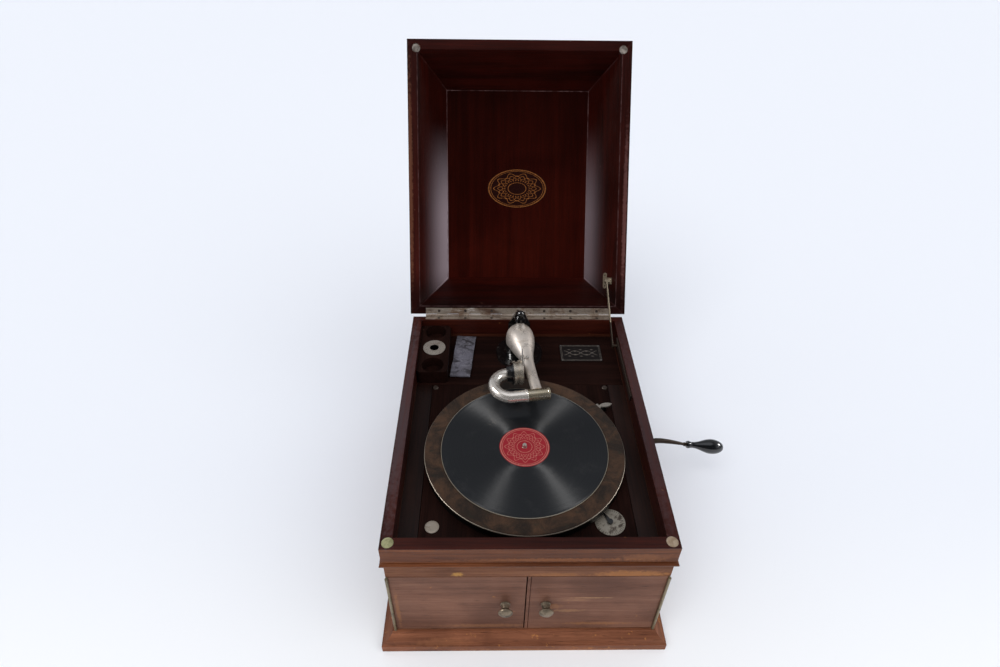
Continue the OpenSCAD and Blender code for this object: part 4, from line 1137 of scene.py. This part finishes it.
CASE = WoodFinish("case_mahogany", srgb(58, 28, 18), srgb(88, 48, 34), Grain.DEEP, skin=Skin.CASE, rub=0.22,
                  faded_dark=srgb(94, 56, 38), faded_light=srgb(136, 94, 70), shine=0.1, rough=0.5)
RIGHT = replace(CASE, name="right_mahogany", seed=7.7)
BACK = replace(CASE, name="back_mahogany", grain=Grain.ACROSS, seed=9.1)
RAILS = replace(CASE, name="rail_mahogany", grain=Grain.ACROSS, rub=0.3, seed=0.4, places=(
    WearOrSheenPlace((140, -242, 183), (66, 9, 12), 0.7), WearOrSheenPlace((40, -242, 182), (50, 9, 7), 0.4),
    WearOrSheenPlace((-96, -242, 184), (12, 9, 6), 0.75, srgb(196, 148, 74))))
DOORS = replace(CASE, name="door_mahogany", grain=Grain.ACROSS, faded_dark=srgb(108, 74, 60),
                faded_light=srgb(134, 97, 80), rub=0.3, seed=2.3, places=(
    WearOrSheenPlace((-60, -242, 40), (90, 9, 6), 0.35, srgb(166, 116, 78)),
    WearOrSheenPlace((-185, -242, 90), (4, 9, 60), 0.35),
    WearOrSheenPlace((-31, -242, 118), (9, 9, 16), 0.5, srgb(70, 44, 34))))
DOORS_RIGHT = replace(DOORS, name="right_door_mahogany", seed=11.9, places=(
    WearOrSheenPlace((62, -242, 84), (30, 9, 5), 0.4, srgb(176, 134, 92)),
    WearOrSheenPlace((110, -242, 45), (70, 9, 5), 0.4),
    WearOrSheenPlace((92, -242, 120), (44, 9, 1.6), 0.7, srgb(190, 150, 108)),
    WearOrSheenPlace((70, -242, 114), (30, 9, 1.2), 0.6, srgb(190, 150, 108)),
    WearOrSheenPlace((29, -242, 118), (9, 9, 16), 0.5, srgb(70, 44, 34)),
    WearOrSheenPlace((40, -242, 96), (16, 9, 9), 0.3)))
PLINTH = replace(CASE, name="plinth_mahogany", grain=Grain.CASE_MITRE, dark=srgb(98, 58, 40),
                 light=srgb(146, 94, 68), skin=Skin.NONE, rub=0.45, seed=4.1, places=(
    WearOrSheenPlace((40, -260, 2), (190, 12, 5), 0.6, srgb(176, 124, 84)),
    WearOrSheenPlace((-120, -258, 18), (60, 12, 5), 0.35, srgb(160, 106, 72))))
RIM = WoodFinish("rim_mahogany", srgb(38, 12, 8), srgb(70, 28, 19), Grain.CASE_MITRE, skin=Skin.CASE,
                 faded_dark=srgb(80, 40, 20), faded_light=srgb(128, 76, 44), rub=0.26, rough=0.34, shine=0.15,
                 seed=1.1, places=(
    # The two places on the rim's sides, at x = -188 and 188, are a painted greyish reflection.
    WearOrSheenPlace((-188, 0, 248), (16, 300, 9), 0.2, srgb(128, 118, 124)),
    WearOrSheenPlace((188, 0, 248), (16, 300, 9), 0.12, srgb(120, 112, 120)),
    WearOrSheenPlace((30, -244, 222), (150, 9, 5), 0.4, srgb(160, 98, 52)),
    WearOrSheenPlace((150, -244, 226), (44, 9, 12), 0.4, srgb(150, 96, 56))))
DECK = WoodFinish("deck_mahogany", srgb(22, 11, 9), srgb(40, 22, 18), Grain.ACROSS, rub=0.08, rough=0.5,
                  shine=0.03, seed=3.2, bare=srgb(96, 66, 50))
BOARD = replace(DECK, name="board_mahogany", grain=Grain.DEEP, seed=8.4)
BLOCK = replace(DECK, name="block_mahogany", grain=Grain.DEEP, seed=2.9, rub=0.15)
WALL = WoodFinish("wall_mahogany", srgb(24, 12, 9), srgb(44, 24, 18), Grain.DEEP, rub=0.1, shine=0.2)
# Both lid woods have painted light and shade on their inside faces.
LID_FRAME = WoodFinish("lid_mahogany", srgb(30, 5, 2), srgb(60, 15, 8), Grain.LID_MITRE, skin=Skin.LID,
                       rub=0.2, rough=0.34, shine=0.12, seed=5.3, bare=srgb(118, 78, 62),
                       painted_light_levels=(1.2, 0.85, 0.4), places=(
    WearOrSheenPlace((-198, 250, 0), (5, 260, 8), 0.5, srgb(128, 84, 60)),
    WearOrSheenPlace((196, 190, 0), (5, 200, 8), 0.45, srgb(124, 84, 80))))
LID_PANEL = WoodFinish("panel_mahogany", srgb(32, 5, 2), srgb(46, 9, 4), Grain.LID_LONG, skin=Skin.LID,
                       rub=0.02, rough=0.34, shine=0.02, seed=6.1, bare=srgb(70, 24, 16),
                       painted_light_levels=(1.55, 0.7, 0.9))
RAW = WoodFinish("raw_board", srgb(120, 84, 56), srgb(164, 124, 88), Grain.DEEP, rub=0.05, shine=0.15,
                 rough=0.7, bare=srgb(180, 140, 100))
NICKEL = MetalFinish("old_nickel", srgb(206, 198, 188), srgb(140, 128, 114), 0.28, 0.45, 0.34, polish=0.9)
# The cups' near-black colour below their rims is painted shade in and under them.
CUP = replace(NICKEL, name="cup_nickel", colour=srgb(172, 164, 154), dark_below=236.4, polish=0.6,
              streaks=0.25)
BRAKE = replace(NICKEL, name="brake_nickel", colour=srgb(168, 160, 150), dark_below=224.4, polish=0.8)
RING = replace(NICKEL, name="platter_nickel", colour=srgb(142, 132, 120), rough=0.44, dark_below=230.4)
BOX = replace(NICKEL, name="box_nickel", colour=srgb(176, 166, 152), stain=srgb(96, 84, 70), polish=0.8,
              rough=0.26)
HINGE = MetalFinish("hinge_plating", srgb(168, 154, 140), srgb(112, 92, 76), 0.3, 0.7, 0.4, srgb(74, 46, 32),
                    0.7, streaks=0.75)
BRASS = MetalFinish("aged_brass", srgb(128, 116, 92), srgb(78, 74, 58), 0.38, 0.6, 0.25,
                    srgb(70, 78, 60), 0.6)
STEEL = MetalFinish("bare_steel", srgb(150, 148, 146), srgb(84, 76, 70), 0.3, 0.45, 0.2)
DARK_STEEL = MetalFinish("dark_steel", srgb(74, 64, 58), srgb(40, 34, 30), 0.34, 0.5, 0.25, polish=0.6)
PLATE = MetalFinish("worn_plate", srgb(164, 152, 138), srgb(96, 84, 72), 0.34, 0.66, 0.4, polish=0.6,
                    streaks=0.3)
IRON = LacquerFinish("black_iron")
HANDLE = LacquerFinish("black_handle", srgb(9, 10, 13), rough=0.1, wear=0.05)
FELT = FeltFinish("turntable_felt", srgb(30, 21, 15), srgb(74, 51, 35), srgb(34, 35, 24))
ARM = MetalFinish("pitted_nickel", srgb(218, 208, 198), srgb(160, 146, 130), 0.36, 0.5, 0.62,
                  srgb(60, 42, 30), 0.62)
# Painted shade: the bell turns near-black below 239 mm.
BELL = replace(ARM, name="bell_nickel", dark_below=239.0)
GOOSE = replace(ARM, name="bright_nickel", colour=srgb(236, 228, 218), rough=0.2, age=0.42, polish=0.8)
SLEEVE = MetalFinish("brassy_nickel", srgb(178, 166, 142), srgb(120, 104, 82), 0.26, 0.5, 0.4,
                     srgb(74, 56, 36), 0.9, streaks=0.3)
RAIL = MetalFinish("rail_metal", srgb(70, 58, 50), srgb(44, 34, 30), 0.4, 0.6, 0.2)
# Painted shade: the stay turns dark below 262 mm, inside the case.
STAY = MetalFinish("stay_plating", srgb(150, 136, 116), srgb(88, 76, 60), 0.34, 0.55, 0.3, polish=0.6,
                   dark_below=262.0, shadow=srgb(58, 48, 38))
KNOB = MetalFinish("knob_brass", srgb(130, 116, 98), srgb(78, 70, 56), 0.36, 0.6, 0.3, srgb(56, 52, 42), 0.7)
ROD = MetalFinish("rod_steel", srgb(48, 36, 26), srgb(26, 20, 17), 0.3, 0.5, 0.2, srgb(40, 28, 20), 0.6)
MICA = LacquerFinish("mica_sheet", srgb(120, 112, 98), srgb(150, 142, 128), 0.14, 0.1, srgb(90, 80, 66))
SHELLAC = ShellacFinish()
PAPER = PaperFinish()
LABEL = RosetteFinish("label_paper", srgb(146, 26, 38), srgb(178, 118, 104), (*SPINDLE, 235.5),
                      (LABEL_RADIUS, LABEL_RADIUS), petals=12.0, fade=0.5)
ORNAMENT = RosetteFinish("lid_transfer", srgb(32, 6, 3), srgb(148, 90, 42), (*ORNAMENT_AT, -82.0),
                         ORNAMENT_HALF, petals=10.0, on_lid=True, fade=0.6, shine=0.08)
PAD_GREY = FeltFinish("pad_grey", srgb(84, 76, 70), srgb(150, 142, 134), srgb(60, 44, 38), 90.0)
PAD_GREEN = FeltFinish("pad_green", srgb(118, 116, 82), srgb(164, 162, 124), srgb(96, 90, 70), 90.0)
PAD_TAN = FeltFinish("pad_tan", srgb(132, 112, 90), srgb(176, 160, 142), srgb(104, 84, 66), 90.0)


@dataclass(frozen=True)
class Studio:
    """Floor, light and the photographer's place."""

    eye: Point = (-0.05425, -0.69336, 0.97802)
    pitch: float = 39.458
    yaw: float = -1.2805
    roll: float = 0.9253
    lens: float = 22.7247
    floor_colour: Colour = (0.85, 0.872, 0.93, 1.0)
    floor_near_painted_light: Colour = (0.99, 0.99, 0.99, 1.0)
    backdrop: Colour = (0.87, 0.9, 0.985, 1.0)
    room_soft: Colour = (0.57, 0.59, 0.62, 1.0)
    room_dark: Colour = (0.07, 0.072, 0.078, 1.0)
    room_bright: Colour = (0.8, 0.83, 0.9, 1.0)

    def camera(self) -> None:
        """Place the camera at the photographer's eye."""
        pitch, yaw, roll = (math.radians(a) for a in (self.pitch, self.yaw, self.roll))
        turn = Matrix.Rotation(yaw, 3, "Z")
        ahead = turn @ Vector((0, math.cos(pitch), -math.sin(pitch)))
        right = turn @ Vector((1, 0, 0))
        up = turn @ Vector((0, math.sin(pitch), math.cos(pitch)))
        right, up = (right * math.cos(roll) + up * math.sin(roll),
                     up * math.cos(roll) - right * math.sin(roll))
        data = bpy.data.cameras.new("camera")
        data.lens = self.lens
        data.sensor_width = 36
        data.clip_end = 50
        camera = bpy.data.objects.new("camera", data)
        bpy.context.scene.collection.objects.link(camera)
        facing = Matrix((right, up, -ahead)).transposed().to_4x4()
        camera.matrix_world = Matrix.Translation(Vector(self.eye)) @ facing
        bpy.context.scene.camera = camera

    def floor(self) -> None:
        """Lay a plain pale floor with painted light: lighter near the camera."""
        Bench.clear()
        bpy.ops.mesh.primitive_grid_add(x_subdivisions=4, y_subdivisions=4, size=24, location=(0, 3, -0.0006))
        floor = bpy.context.object
        floor.name = "floor"
        Bench.settle(floor)
        material, tree = new_material("paper_floor")
        along = tree.where().parts()[1]
        # Painted light: the floor is lighter near the camera.
        near = along.ramp(0.1, -0.6) * along.ramp(-2.4, -1.0)
        paper = tree.mix(near, self.floor_colour, self.floor_near_painted_light)
        tree.surface(Base_Color=paper, Roughness=0.9, Specular_IOR_Level=0.1)
        floor.data.materials.append(material)

    def lamp(self, name: str, strength: float, spread: float, towards: Point, mirrored: bool) -> None:
        """Hang one distant soft light.

        Args:
            name: The light's name.
            strength: Its strength.
            spread: How wide it looks, in degrees.
            towards: The direction that it comes from.
            mirrored: Whether it is there for mirrored light alone, or for spread light alone.
        """
        data = bpy.data.lights.new(name, "SUN")
        data.energy = strength
        data.angle = math.radians(spread)
        data.color = (1.0, 0.99, 0.98)
        lamp = bpy.data.objects.new(name, data)
        bpy.context.scene.collection.objects.link(lamp)
        lamp.rotation_euler = Vector(towards).to_track_quat("Z", "Y").to_euler()
        lamp.visible_glossy = mirrored
        lamp.visible_diffuse = not mirrored

    def room(self) -> None:
        """Make a pale room that shiny faces see as dark, with bright panels overhead and round it."""
        world = bpy.data.worlds.new("room")
        bpy.context.scene.world = world
        world.use_nodes = True
        tree = Tree(world.node_tree)
        rays = tree.outs(tree.add("ShaderNodeLightPath"))
        x, y, z = tree.out("ShaderNodeTexCoord", key="Generated").parts()
        sides = abs(x).ramp(0.5, 0.85) * z.ramp(0.0, 0.3) * 0.8
        back = y.ramp(0.15, 0.6) * z.ramp(-0.05, 0.1) * 0.36
        glare = tree.mix(z.ramp(0.84, 0.97).most(sides, back), self.room_dark, self.room_bright)
        colour = tree.mix(rays["Is Glossy Ray"], self.room_soft, glare)
        seen = rays["Is Camera Ray"].most(rays["Is Transmission Ray"])
        soft = tree.out("ShaderNodeBackground", {"Color": colour, "Strength": 1.0})
        pale = tree.out("ShaderNodeBackground", {"Color": self.backdrop, "Strength": 1.0})
        tree.add("ShaderNodeOutputWorld", {0: tree.out("ShaderNodeMixShader", {0: seen, 1: soft, 2: pale})})

    def build(self) -> None:
        """Set up camera, floor, soft light from the front, and a softbox at each side."""
        self.camera()
        self.floor()
        self.lamp("key", 1.2, 46, (-0.262, -0.494, 0.829), False)
        self.lamp("fill", 0.62, 60, (0.567, -0.354, 0.743), False)
        self.lamp("left_box", 3.0, 12, (-0.78, 0.06, 0.62), True)
        self.lamp("right_box", 2.0, 12, (0.86, 0.16, 0.48), True)
        self.room()
        bpy.context.scene.view_settings.view_transform = "Standard"


@dataclass
class Cabinet:
    """The case with its decks, fittings and hidden works."""

    packet_at: Point = (-101.0, 172.0, 210.0)
    packet_size: Point = (38.0, 112.0, 5.0)
    packet_turn: float = -4.5
    pin_corner: Tuple[float, float] = (35.2, 19.7)

    def plate_pins(self) -> None:
        """Drive a small round pin into each corner of the nameplate."""
        profile = [(0, 0), (1.1, 0), (1.0, 0.4), (0.5, 0.65), (0, 0.7)]
        x, y, z = PLATE_AT
        wide, deep = self.pin_corner
        pins = [Bench.turned(f"pin_{i:.0f}_{j:.0f}", profile, mm(x + i, y + j, z), steps=12)
                for i in (-wide, wide) for j in (-deep, deep)]
        WARDROBE.give(Bench.joined(pins, "nameplate_pins"), "case", "steel", STEEL)

    def packet(self) -> None:
        """Crumple the small waxed-paper packet that lies by the cups."""
        x, y, z = self.packet_at
        wide, long, high = self.packet_size
        Bench.clear()
        bpy.ops.mesh.primitive_cube_add(size=1, scale=mm(wide - 2.4, long - 3, high - 2.2))
        piece = bpy.context.object
        piece.name = "paper_packet"
        Bench.settle(piece)
        Bench.edit(piece)
        bpy.ops.mesh.subdivide(number_cuts=15)
        Bench.clear()
        for name, size, strength in (("folds", 0.02, 1.9), ("creases", 0.009, 0.8)):
            pattern = bpy.data.textures.new(name, "CLOUDS")
            pattern.noise_scale = size
            Bench.apply(piece, "DISPLACE", texture=pattern, strength=strength * MM, mid_level=0.55)
        Bench.only(piece)
        bpy.ops.object.shade_smooth_by_angle(angle=math.radians(22))
        turn = Matrix.Rotation(math.radians(self.packet_turn), 4, "Z")
        Bench.settle(piece, Matrix.Translation(mm(x, y, z + high / 2)) @ turn)
        WARDROBE.give(piece, "case", "packet_paper", PAPER, "needle_packet")

    def build(self) -> None:
        """Dress the whole case."""
        WARDROBE.ease(
            "case", ("left_side", "case_wood", CASE, 0.8), ("right_side", "case_wood", RIGHT, 0.8),
            ("back_panel", "case_wood", BACK, 0.8), ("front_rails", "case_wood", RAILS, 0.8),
            ("plinth_moulding", "case_wood", PLINTH, 1.2), ("rim_frame", "rim_wood", RIM, 1.0),
            ("rear_deck", "inner_wood", DECK, 0.8), ("motor_board", "inner_wood", BOARD, 1.0),
            ("board_ledges", "inner_wood", WALL, 0.6), ("needle_cup_block", "inner_wood", BLOCK, 1.2))
        r = PAD_RADIUS
        dome = [(0, 0), (r - 0.4, 0), (r, 0.5), (r, 2.2), (r - 0.7, 2.8), (r * 0.6, 2.95), (0, 3.0)]
        WARDROBE.pads("rim_pad", "case", "corner_pads", dome, 245.4, (PAD_GREEN, PAD_TAN), 48, 0.00006, 3)
        WARDROBE.ease(
            "case", ("needle_cup", "nickel", CUP, 0.3), ("board_screws", "steel", DARK_STEEL, 0.2),
            ("board_cap", "nickel", PLATE, 0.4), ("nameplate", "plate_metal", NameplateFinish(), 0.3))
        self.plate_pins()
        self.packet()
        WARDROBE.ease(
            "case", ("stay_rail", "hinge_nickel", RAIL, 0.3),
            ("lid_hinge_case_leaf", "hinge_nickel", HINGE, 0.25),
            ("case_hinge_screws", "steel", DARK_STEEL, 0.0), ("tonearm_bracket", "black_iron", IRON, 1.0),
            ("speed_dial", "plate_metal", DialFinish(), 0.25), ("crank_escutcheon", "aged_brass", BRASS, 0.4),
            ("door_hinge_case_leaves", "aged_brass", BRASS, 0.2))
        WARDROBE.paint(BRASS, "door_hinge_pins", "lid_hinge_pin")
        WARDROBE.paint(RAW, "base_board", "horn")
        WARDROBE.paint(IRON, "horn_elbow", "motor_frame")


@dataclass
class Lid:
    """The open lid with its hinge, pads, ornament and stay."""

    panel_z: float = 331.0
    film: float = 0.2

    def ornament(self) -> None:
        """Lay a thin oval transfer with a rosette on the panel."""
        Bench.clear()
        bpy.ops.mesh.primitive_circle_add(vertices=96, radius=1, fill_type="NGON")
        oval = bpy.context.object
        oval.name = "lid_ornament"
        x, along = ORNAMENT_AT
        oval.scale = mm(*ORNAMENT_HALF, 1)
        oval.location = mm(x, LID.hinge_y - along, self.panel_z - self.film)
        Bench.settle(oval)
        Bench.edit(oval)
        bpy.ops.mesh.extrude_region_move(TRANSFORM_OT_translate={"value": mm(0, 0, self.film)})
        bpy.ops.mesh.select_all(action="SELECT")
        bpy.ops.mesh.normals_make_consistent(inside=False)
        Bench.clear()
        Bench.smooth(oval)
        Bench.settle(oval, LID.matrix())
        WARDROBE.give(oval, "lid", "lid_wood", ORNAMENT)

    def build(self) -> None:
        """Dress the whole lid."""
        WARDROBE.ease("lid", ("lid_frame", "lid_wood", LID_FRAME, 1.0),
                      ("lid_panel", "lid_wood", LID_PANEL, 0.6))
        r = PAD_RADIUS
        worn = [(0, 0.3), (r * 0.6, 0.3), (r - 1.6, 0.5), (r - 0.9, 1.0), (r - 0.9, 2.6), (0, 2.6)]
        WARDROBE.pads("lid_pad", "lid", "lid_pads", worn, 249.0, (PAD_GREY, PAD_GREY), 20, 0.0007, 4,
                      LID.matrix())
        self.ornament()
        WARDROBE.ease("lid", ("lid_hinge_leaf", "hinge_nickel", HINGE, 0.25),
                      ("lid_hinge_screws", "steel", DARK_STEEL, 0.0),
                      ("stay_bracket", "hinge_nickel", STAY, 0.3))
        WARDROBE.ease("stay", ("stay_arm", "hinge_nickel", STAY, 0.3))


@dataclass
class Doors:
    """The pair of front doors with their hinges and knobs."""

    def build(self) -> None:
        """Dress both doors."""
        for side, finish in (("left", DOORS), ("right", DOORS_RIGHT)):
            body = f"{side}_door"
            WARDROBE.ease(body, (body, "case_wood", finish, 0.9), (f"{body}_leaf", "aged_brass", BRASS, 0.2),
                          (f"{side}_knob", "aged_brass", KNOB, 0.25))


@dataclass
class Turntable:
    """Platter, felt, disc and label."""

    felt_z: float = 232.0
    felt_radius: float = 151.6
    felt_thick: float = 1.5
    felt_hole: float = 6.0
    felt_rings: int = 24
    disc_z: float = 233.5
    disc_radius: float = 127.0
    bore: float = 3.75
    boss: float = 1.85

    def felt(self, platter: Piece) -> None:
        """Make the felt mat with a slightly uneven face.

        Args:
            platter: The piece that the felt lies on; not used.
        """
        top, r, hole, count = self.felt_thick - 0.14, self.felt_radius, self.felt_hole, self.felt_rings
        rings = [hole + (r - hole - 1) * i / count for i in range(count + 1)]
        profile = [(hole, 0), (r - 0.3, 0), (r, 0.5), (r - 0.4, top - 0.2)]
        profile += [(ring, top) for ring in reversed(rings)]
        mat = Bench.turned("felt_mat", profile, mm(*SPINDLE, self.felt_z), steps=144, closed=True)
        Bench.ruffle(mat, 0.00012, 5)
        WARDROBE.give(mat, "platter", "felt", FELT, "turntable_felt")

    def disc(self) -> None:
        """Make the pressed disc with its lip, bands and sunk run-out, and lay the label on it."""
        r, bore, boss = self.disc_radius, self.bore, self.boss
        profile = [(bore, 0), (r - 0.7, 0), (r - 0.1, 0.5), (r, 1.0), (r - 0.3, 1.5), (r - 1.0, 1.68),
                   (r - 2.2, 1.6), (r - 3.4, 1.5)]
        band = r - 4
        while band > 62:
            profile += [(band, 1.5), (band - 0.5, 1.44), (band - 1.0, 1.5)]
            band -= 9.5
        profile += [(58, 1.5), (56, 1.42), (44, 1.42), (41, 1.75), (39, boss), (bore, boss)]
        disc = Bench.turned("record_disc", profile, mm(*SPINDLE, self.disc_z), steps=160, closed=True)
        WARDROBE.give(disc, "platter", "shellac", SHELLAC, "record")
        r = LABEL_RADIUS
        label = [(bore, 0), (r - 0.1, 0), (r, 0.08), (r - 0.4, 0.14), (12, 0.14), (bore, 0.14)]
        paper = Bench.turned("record_label", label, mm(*SPINDLE, self.disc_z + boss), steps=96, closed=True)
        WARDROBE.give(paper, "platter", "shellac", LABEL)

    def build(self) -> None:
        """Dress the turntable."""
        self.felt(WARDROBE.ease("platter", ("turntable", "nickel", RING, 0.3)))
        self.disc()
        WARDROBE.ease("platter", ("spindle", "nickel", NICKEL, 0.0))


@dataclass
class Tonearm:
    """Arm, gooseneck and soundbox."""

    pivot: Tuple[float, float] = (1.0, 181.0)
    turn: float = 8.0
    box_at: Point = (-16.3, -109.0, 266.0)
    box_radius: float = 18.0
    screws: int = 8
    length: float = 163.5
    elbow_z: float = 250.0
    elbow_r: float = 24.5
    cross_z: float = 266.0
    cross_r: float = 9.6
    cross_half: float = 18.6

    def place(self, x: float, y: float, z: float) -> Vector:
        """A place in the arm's own frame, in metres in the shared one.

        Args:
            x: Millimetres to the right of the arm.
            y: Millimetres behind its pivot.
            z: Height in the shared frame.

        Returns:
            The place.
        """
        turn = math.radians(self.turn)
        return mm(self.pivot[0] + x * math.cos(turn) - y * math.sin(turn),
                  self.pivot[1] + x * math.sin(turn) + y * math.cos(turn), z)

    def axis(self) -> Vector:
        """The soundbox's axis, towards its diaphragm."""
        turn = math.radians(self.turn)
        return Vector((math.cos(turn), math.sin(turn), 0))

    def rim_screws(self) -> None:
        """Set a ring of small round screws in the soundbox's rim."""
        made = []
        profile = [(0, -0.2), (1.15, -0.2), (1.15, 0.15), (0.8, 0.5), (0, 0.62)]
        x, y, z = self.box_at
        for i in range(self.screws):
            angle = 2 * math.pi * (i + 0.5) / self.screws
            foot = self.place(x, y + self.box_radius * math.cos(angle), z + self.box_radius * math.sin(angle))
            made.append(Bench.turned(f"rim_screw_{i}", profile, foot, self.axis(), steps=12))
        WARDROBE.give(Bench.joined(made, "soundbox_rim_screws"), "soundbox", "steel", STEEL)

    def skin(self) -> None:
        """Spin the pear of the elbow and its drawn tube, with the bell below and the neck above."""
        run = math.hypot(self.cross_z - self.elbow_z, self.length)
        foot = self.place(0, 0, self.elbow_z)
        ahead = (self.place(0, -self.length, self.cross_z) - foot).normalized()
        r = self.elbow_r
        pear = [(r * math.cos(math.radians(a)), r * math.sin(math.radians(a))) for a in range(-90, 1, 6)]
        pear += [(r - 0.1, 9), (r - 1, 18), (r - 3.2, 29), (r - 6.2, 40), (r - 9.3, 51), (r - 12, 63),
                 (r - 13.9, 76), (r - 15.1, 92), (r - 15.6, 110), (r - 15.8, 135), (r - 15.7, run - 6),
                 (0, run - 6)]
        skin = Bench.turned("tonearm_skin", pear, foot, ahead, steps=72)
        Bench.smooth(skin, 60)
        WARDROBE.give(skin, "tonearm", "nickel", ARM, "tonearm")
        bell = [(r - 1.6, 224.2), (r - 0.3, 224.2), (r, 224.8), (r, 249), (r - 1.6, 249)]
        bell = Bench.turned("tonearm_bell", bell, self.place(0, 0, 0), closed=True)
        WARDROBE.give(bell, "tonearm", "nickel", BELL)
        neck = [(0, 258), (15, 262), (12.6, 268), (9, 276), (6.8, 280), (5.8, 283), (5.8, 288.3), (0, 288.3)]
        neck = Bench.turned("tonearm_neck", neck, self.place(0, 0, 0))
        Bench.smooth(neck, 50)
        WARDROBE.give(neck, "tonearm", "nickel", ARM)

    def crosspiece(self) -> None:
        """Make the brassy sleeve and cap, with a bright ring at the sleeve's mouth."""
        r, half = self.cross_r, self.cross_half
        foot = self.place(0, -self.length, self.cross_z)
        sleeve = [(r - 1, -half + 1.6), (r - 0.1, -half + 1.6), (r, half - 3), (r - 1, half - 3)]
        ring = [(r - 0.8, -half), (r + 0.4, -half), (r + 0.7, -half + 0.4), (r + 0.7, -half + 1.3),
                (r + 0.4, -half + 1.8), (r - 0.8, -half + 1.8)]
        cap = [(0, half - 3.2), (r + 0.3, half - 3.2), (r + 0.6, half - 2.8), (r + 0.6, half),
               (r + 0.2, half + 0.4), (r - 0.8, half + 0.4), (r - 1.3, half - 0.1), (0, half - 0.1)]
        for name, drawn, finish in (("sleeve", sleeve, SLEEVE), ("ring", ring, GOOSE), ("cap", cap, SLEEVE)):
            piece = Bench.turned(f"crosspiece_{name}", drawn, foot, self.axis(), closed=name != "cap")
            WARDROBE.give(piece, "tonearm", "nickel", finish)

    def build(self) -> None:
        """Dress the arm and the soundbox."""
        self.skin()
        self.crosspiece()
        WARDROBE.ease(
            "soundbox", ("gooseneck", "nickel", GOOSE, 0.0), ("soundbox_shell", "nickel", BOX, 0.35),
            ("soundbox_flange", "black_iron", IRON, 0.4), ("needle_arm", "nickel", NICKEL, 0.0))
        WARDROBE.paint(MICA, "diaphragm")
        WARDROBE.paint(STEEL, "needle")
        self.rim_screws()


@dataclass
class Drive:
    """Crank, motor, speed lever and brake."""

    def build(self) -> None:
        """Dress the drive."""
        WARDROBE.ease("crank", ("crank_rod", "steel", ROD, 0.0))
        WARDROBE.ease("handle", ("crank_handle", "black_handle", HANDLE, 0.0))
        WARDROBE.ease("speed_lever", ("speed_lever", "black_iron", IRON, 0.15))
        WARDROBE.ease("brake", ("brake_lever", "nickel", BRAKE, 0.4))
        WARDROBE.paint(STEEL, "spring_barrel", "winding_arbor")
        WARDROBE.paint(BRASS, "governor")


def main() -> None:
    """Build the studio and each sub-assembly in order."""
    logging.basicConfig(level=logging.INFO, format="%(name)s: %(message)s")
    for part in (Studio(), Cabinet(), Lid(), Doors(), Turntable(), Tonearm(), Drive()):
        part.build()


if __name__ == "__main__":
    main()
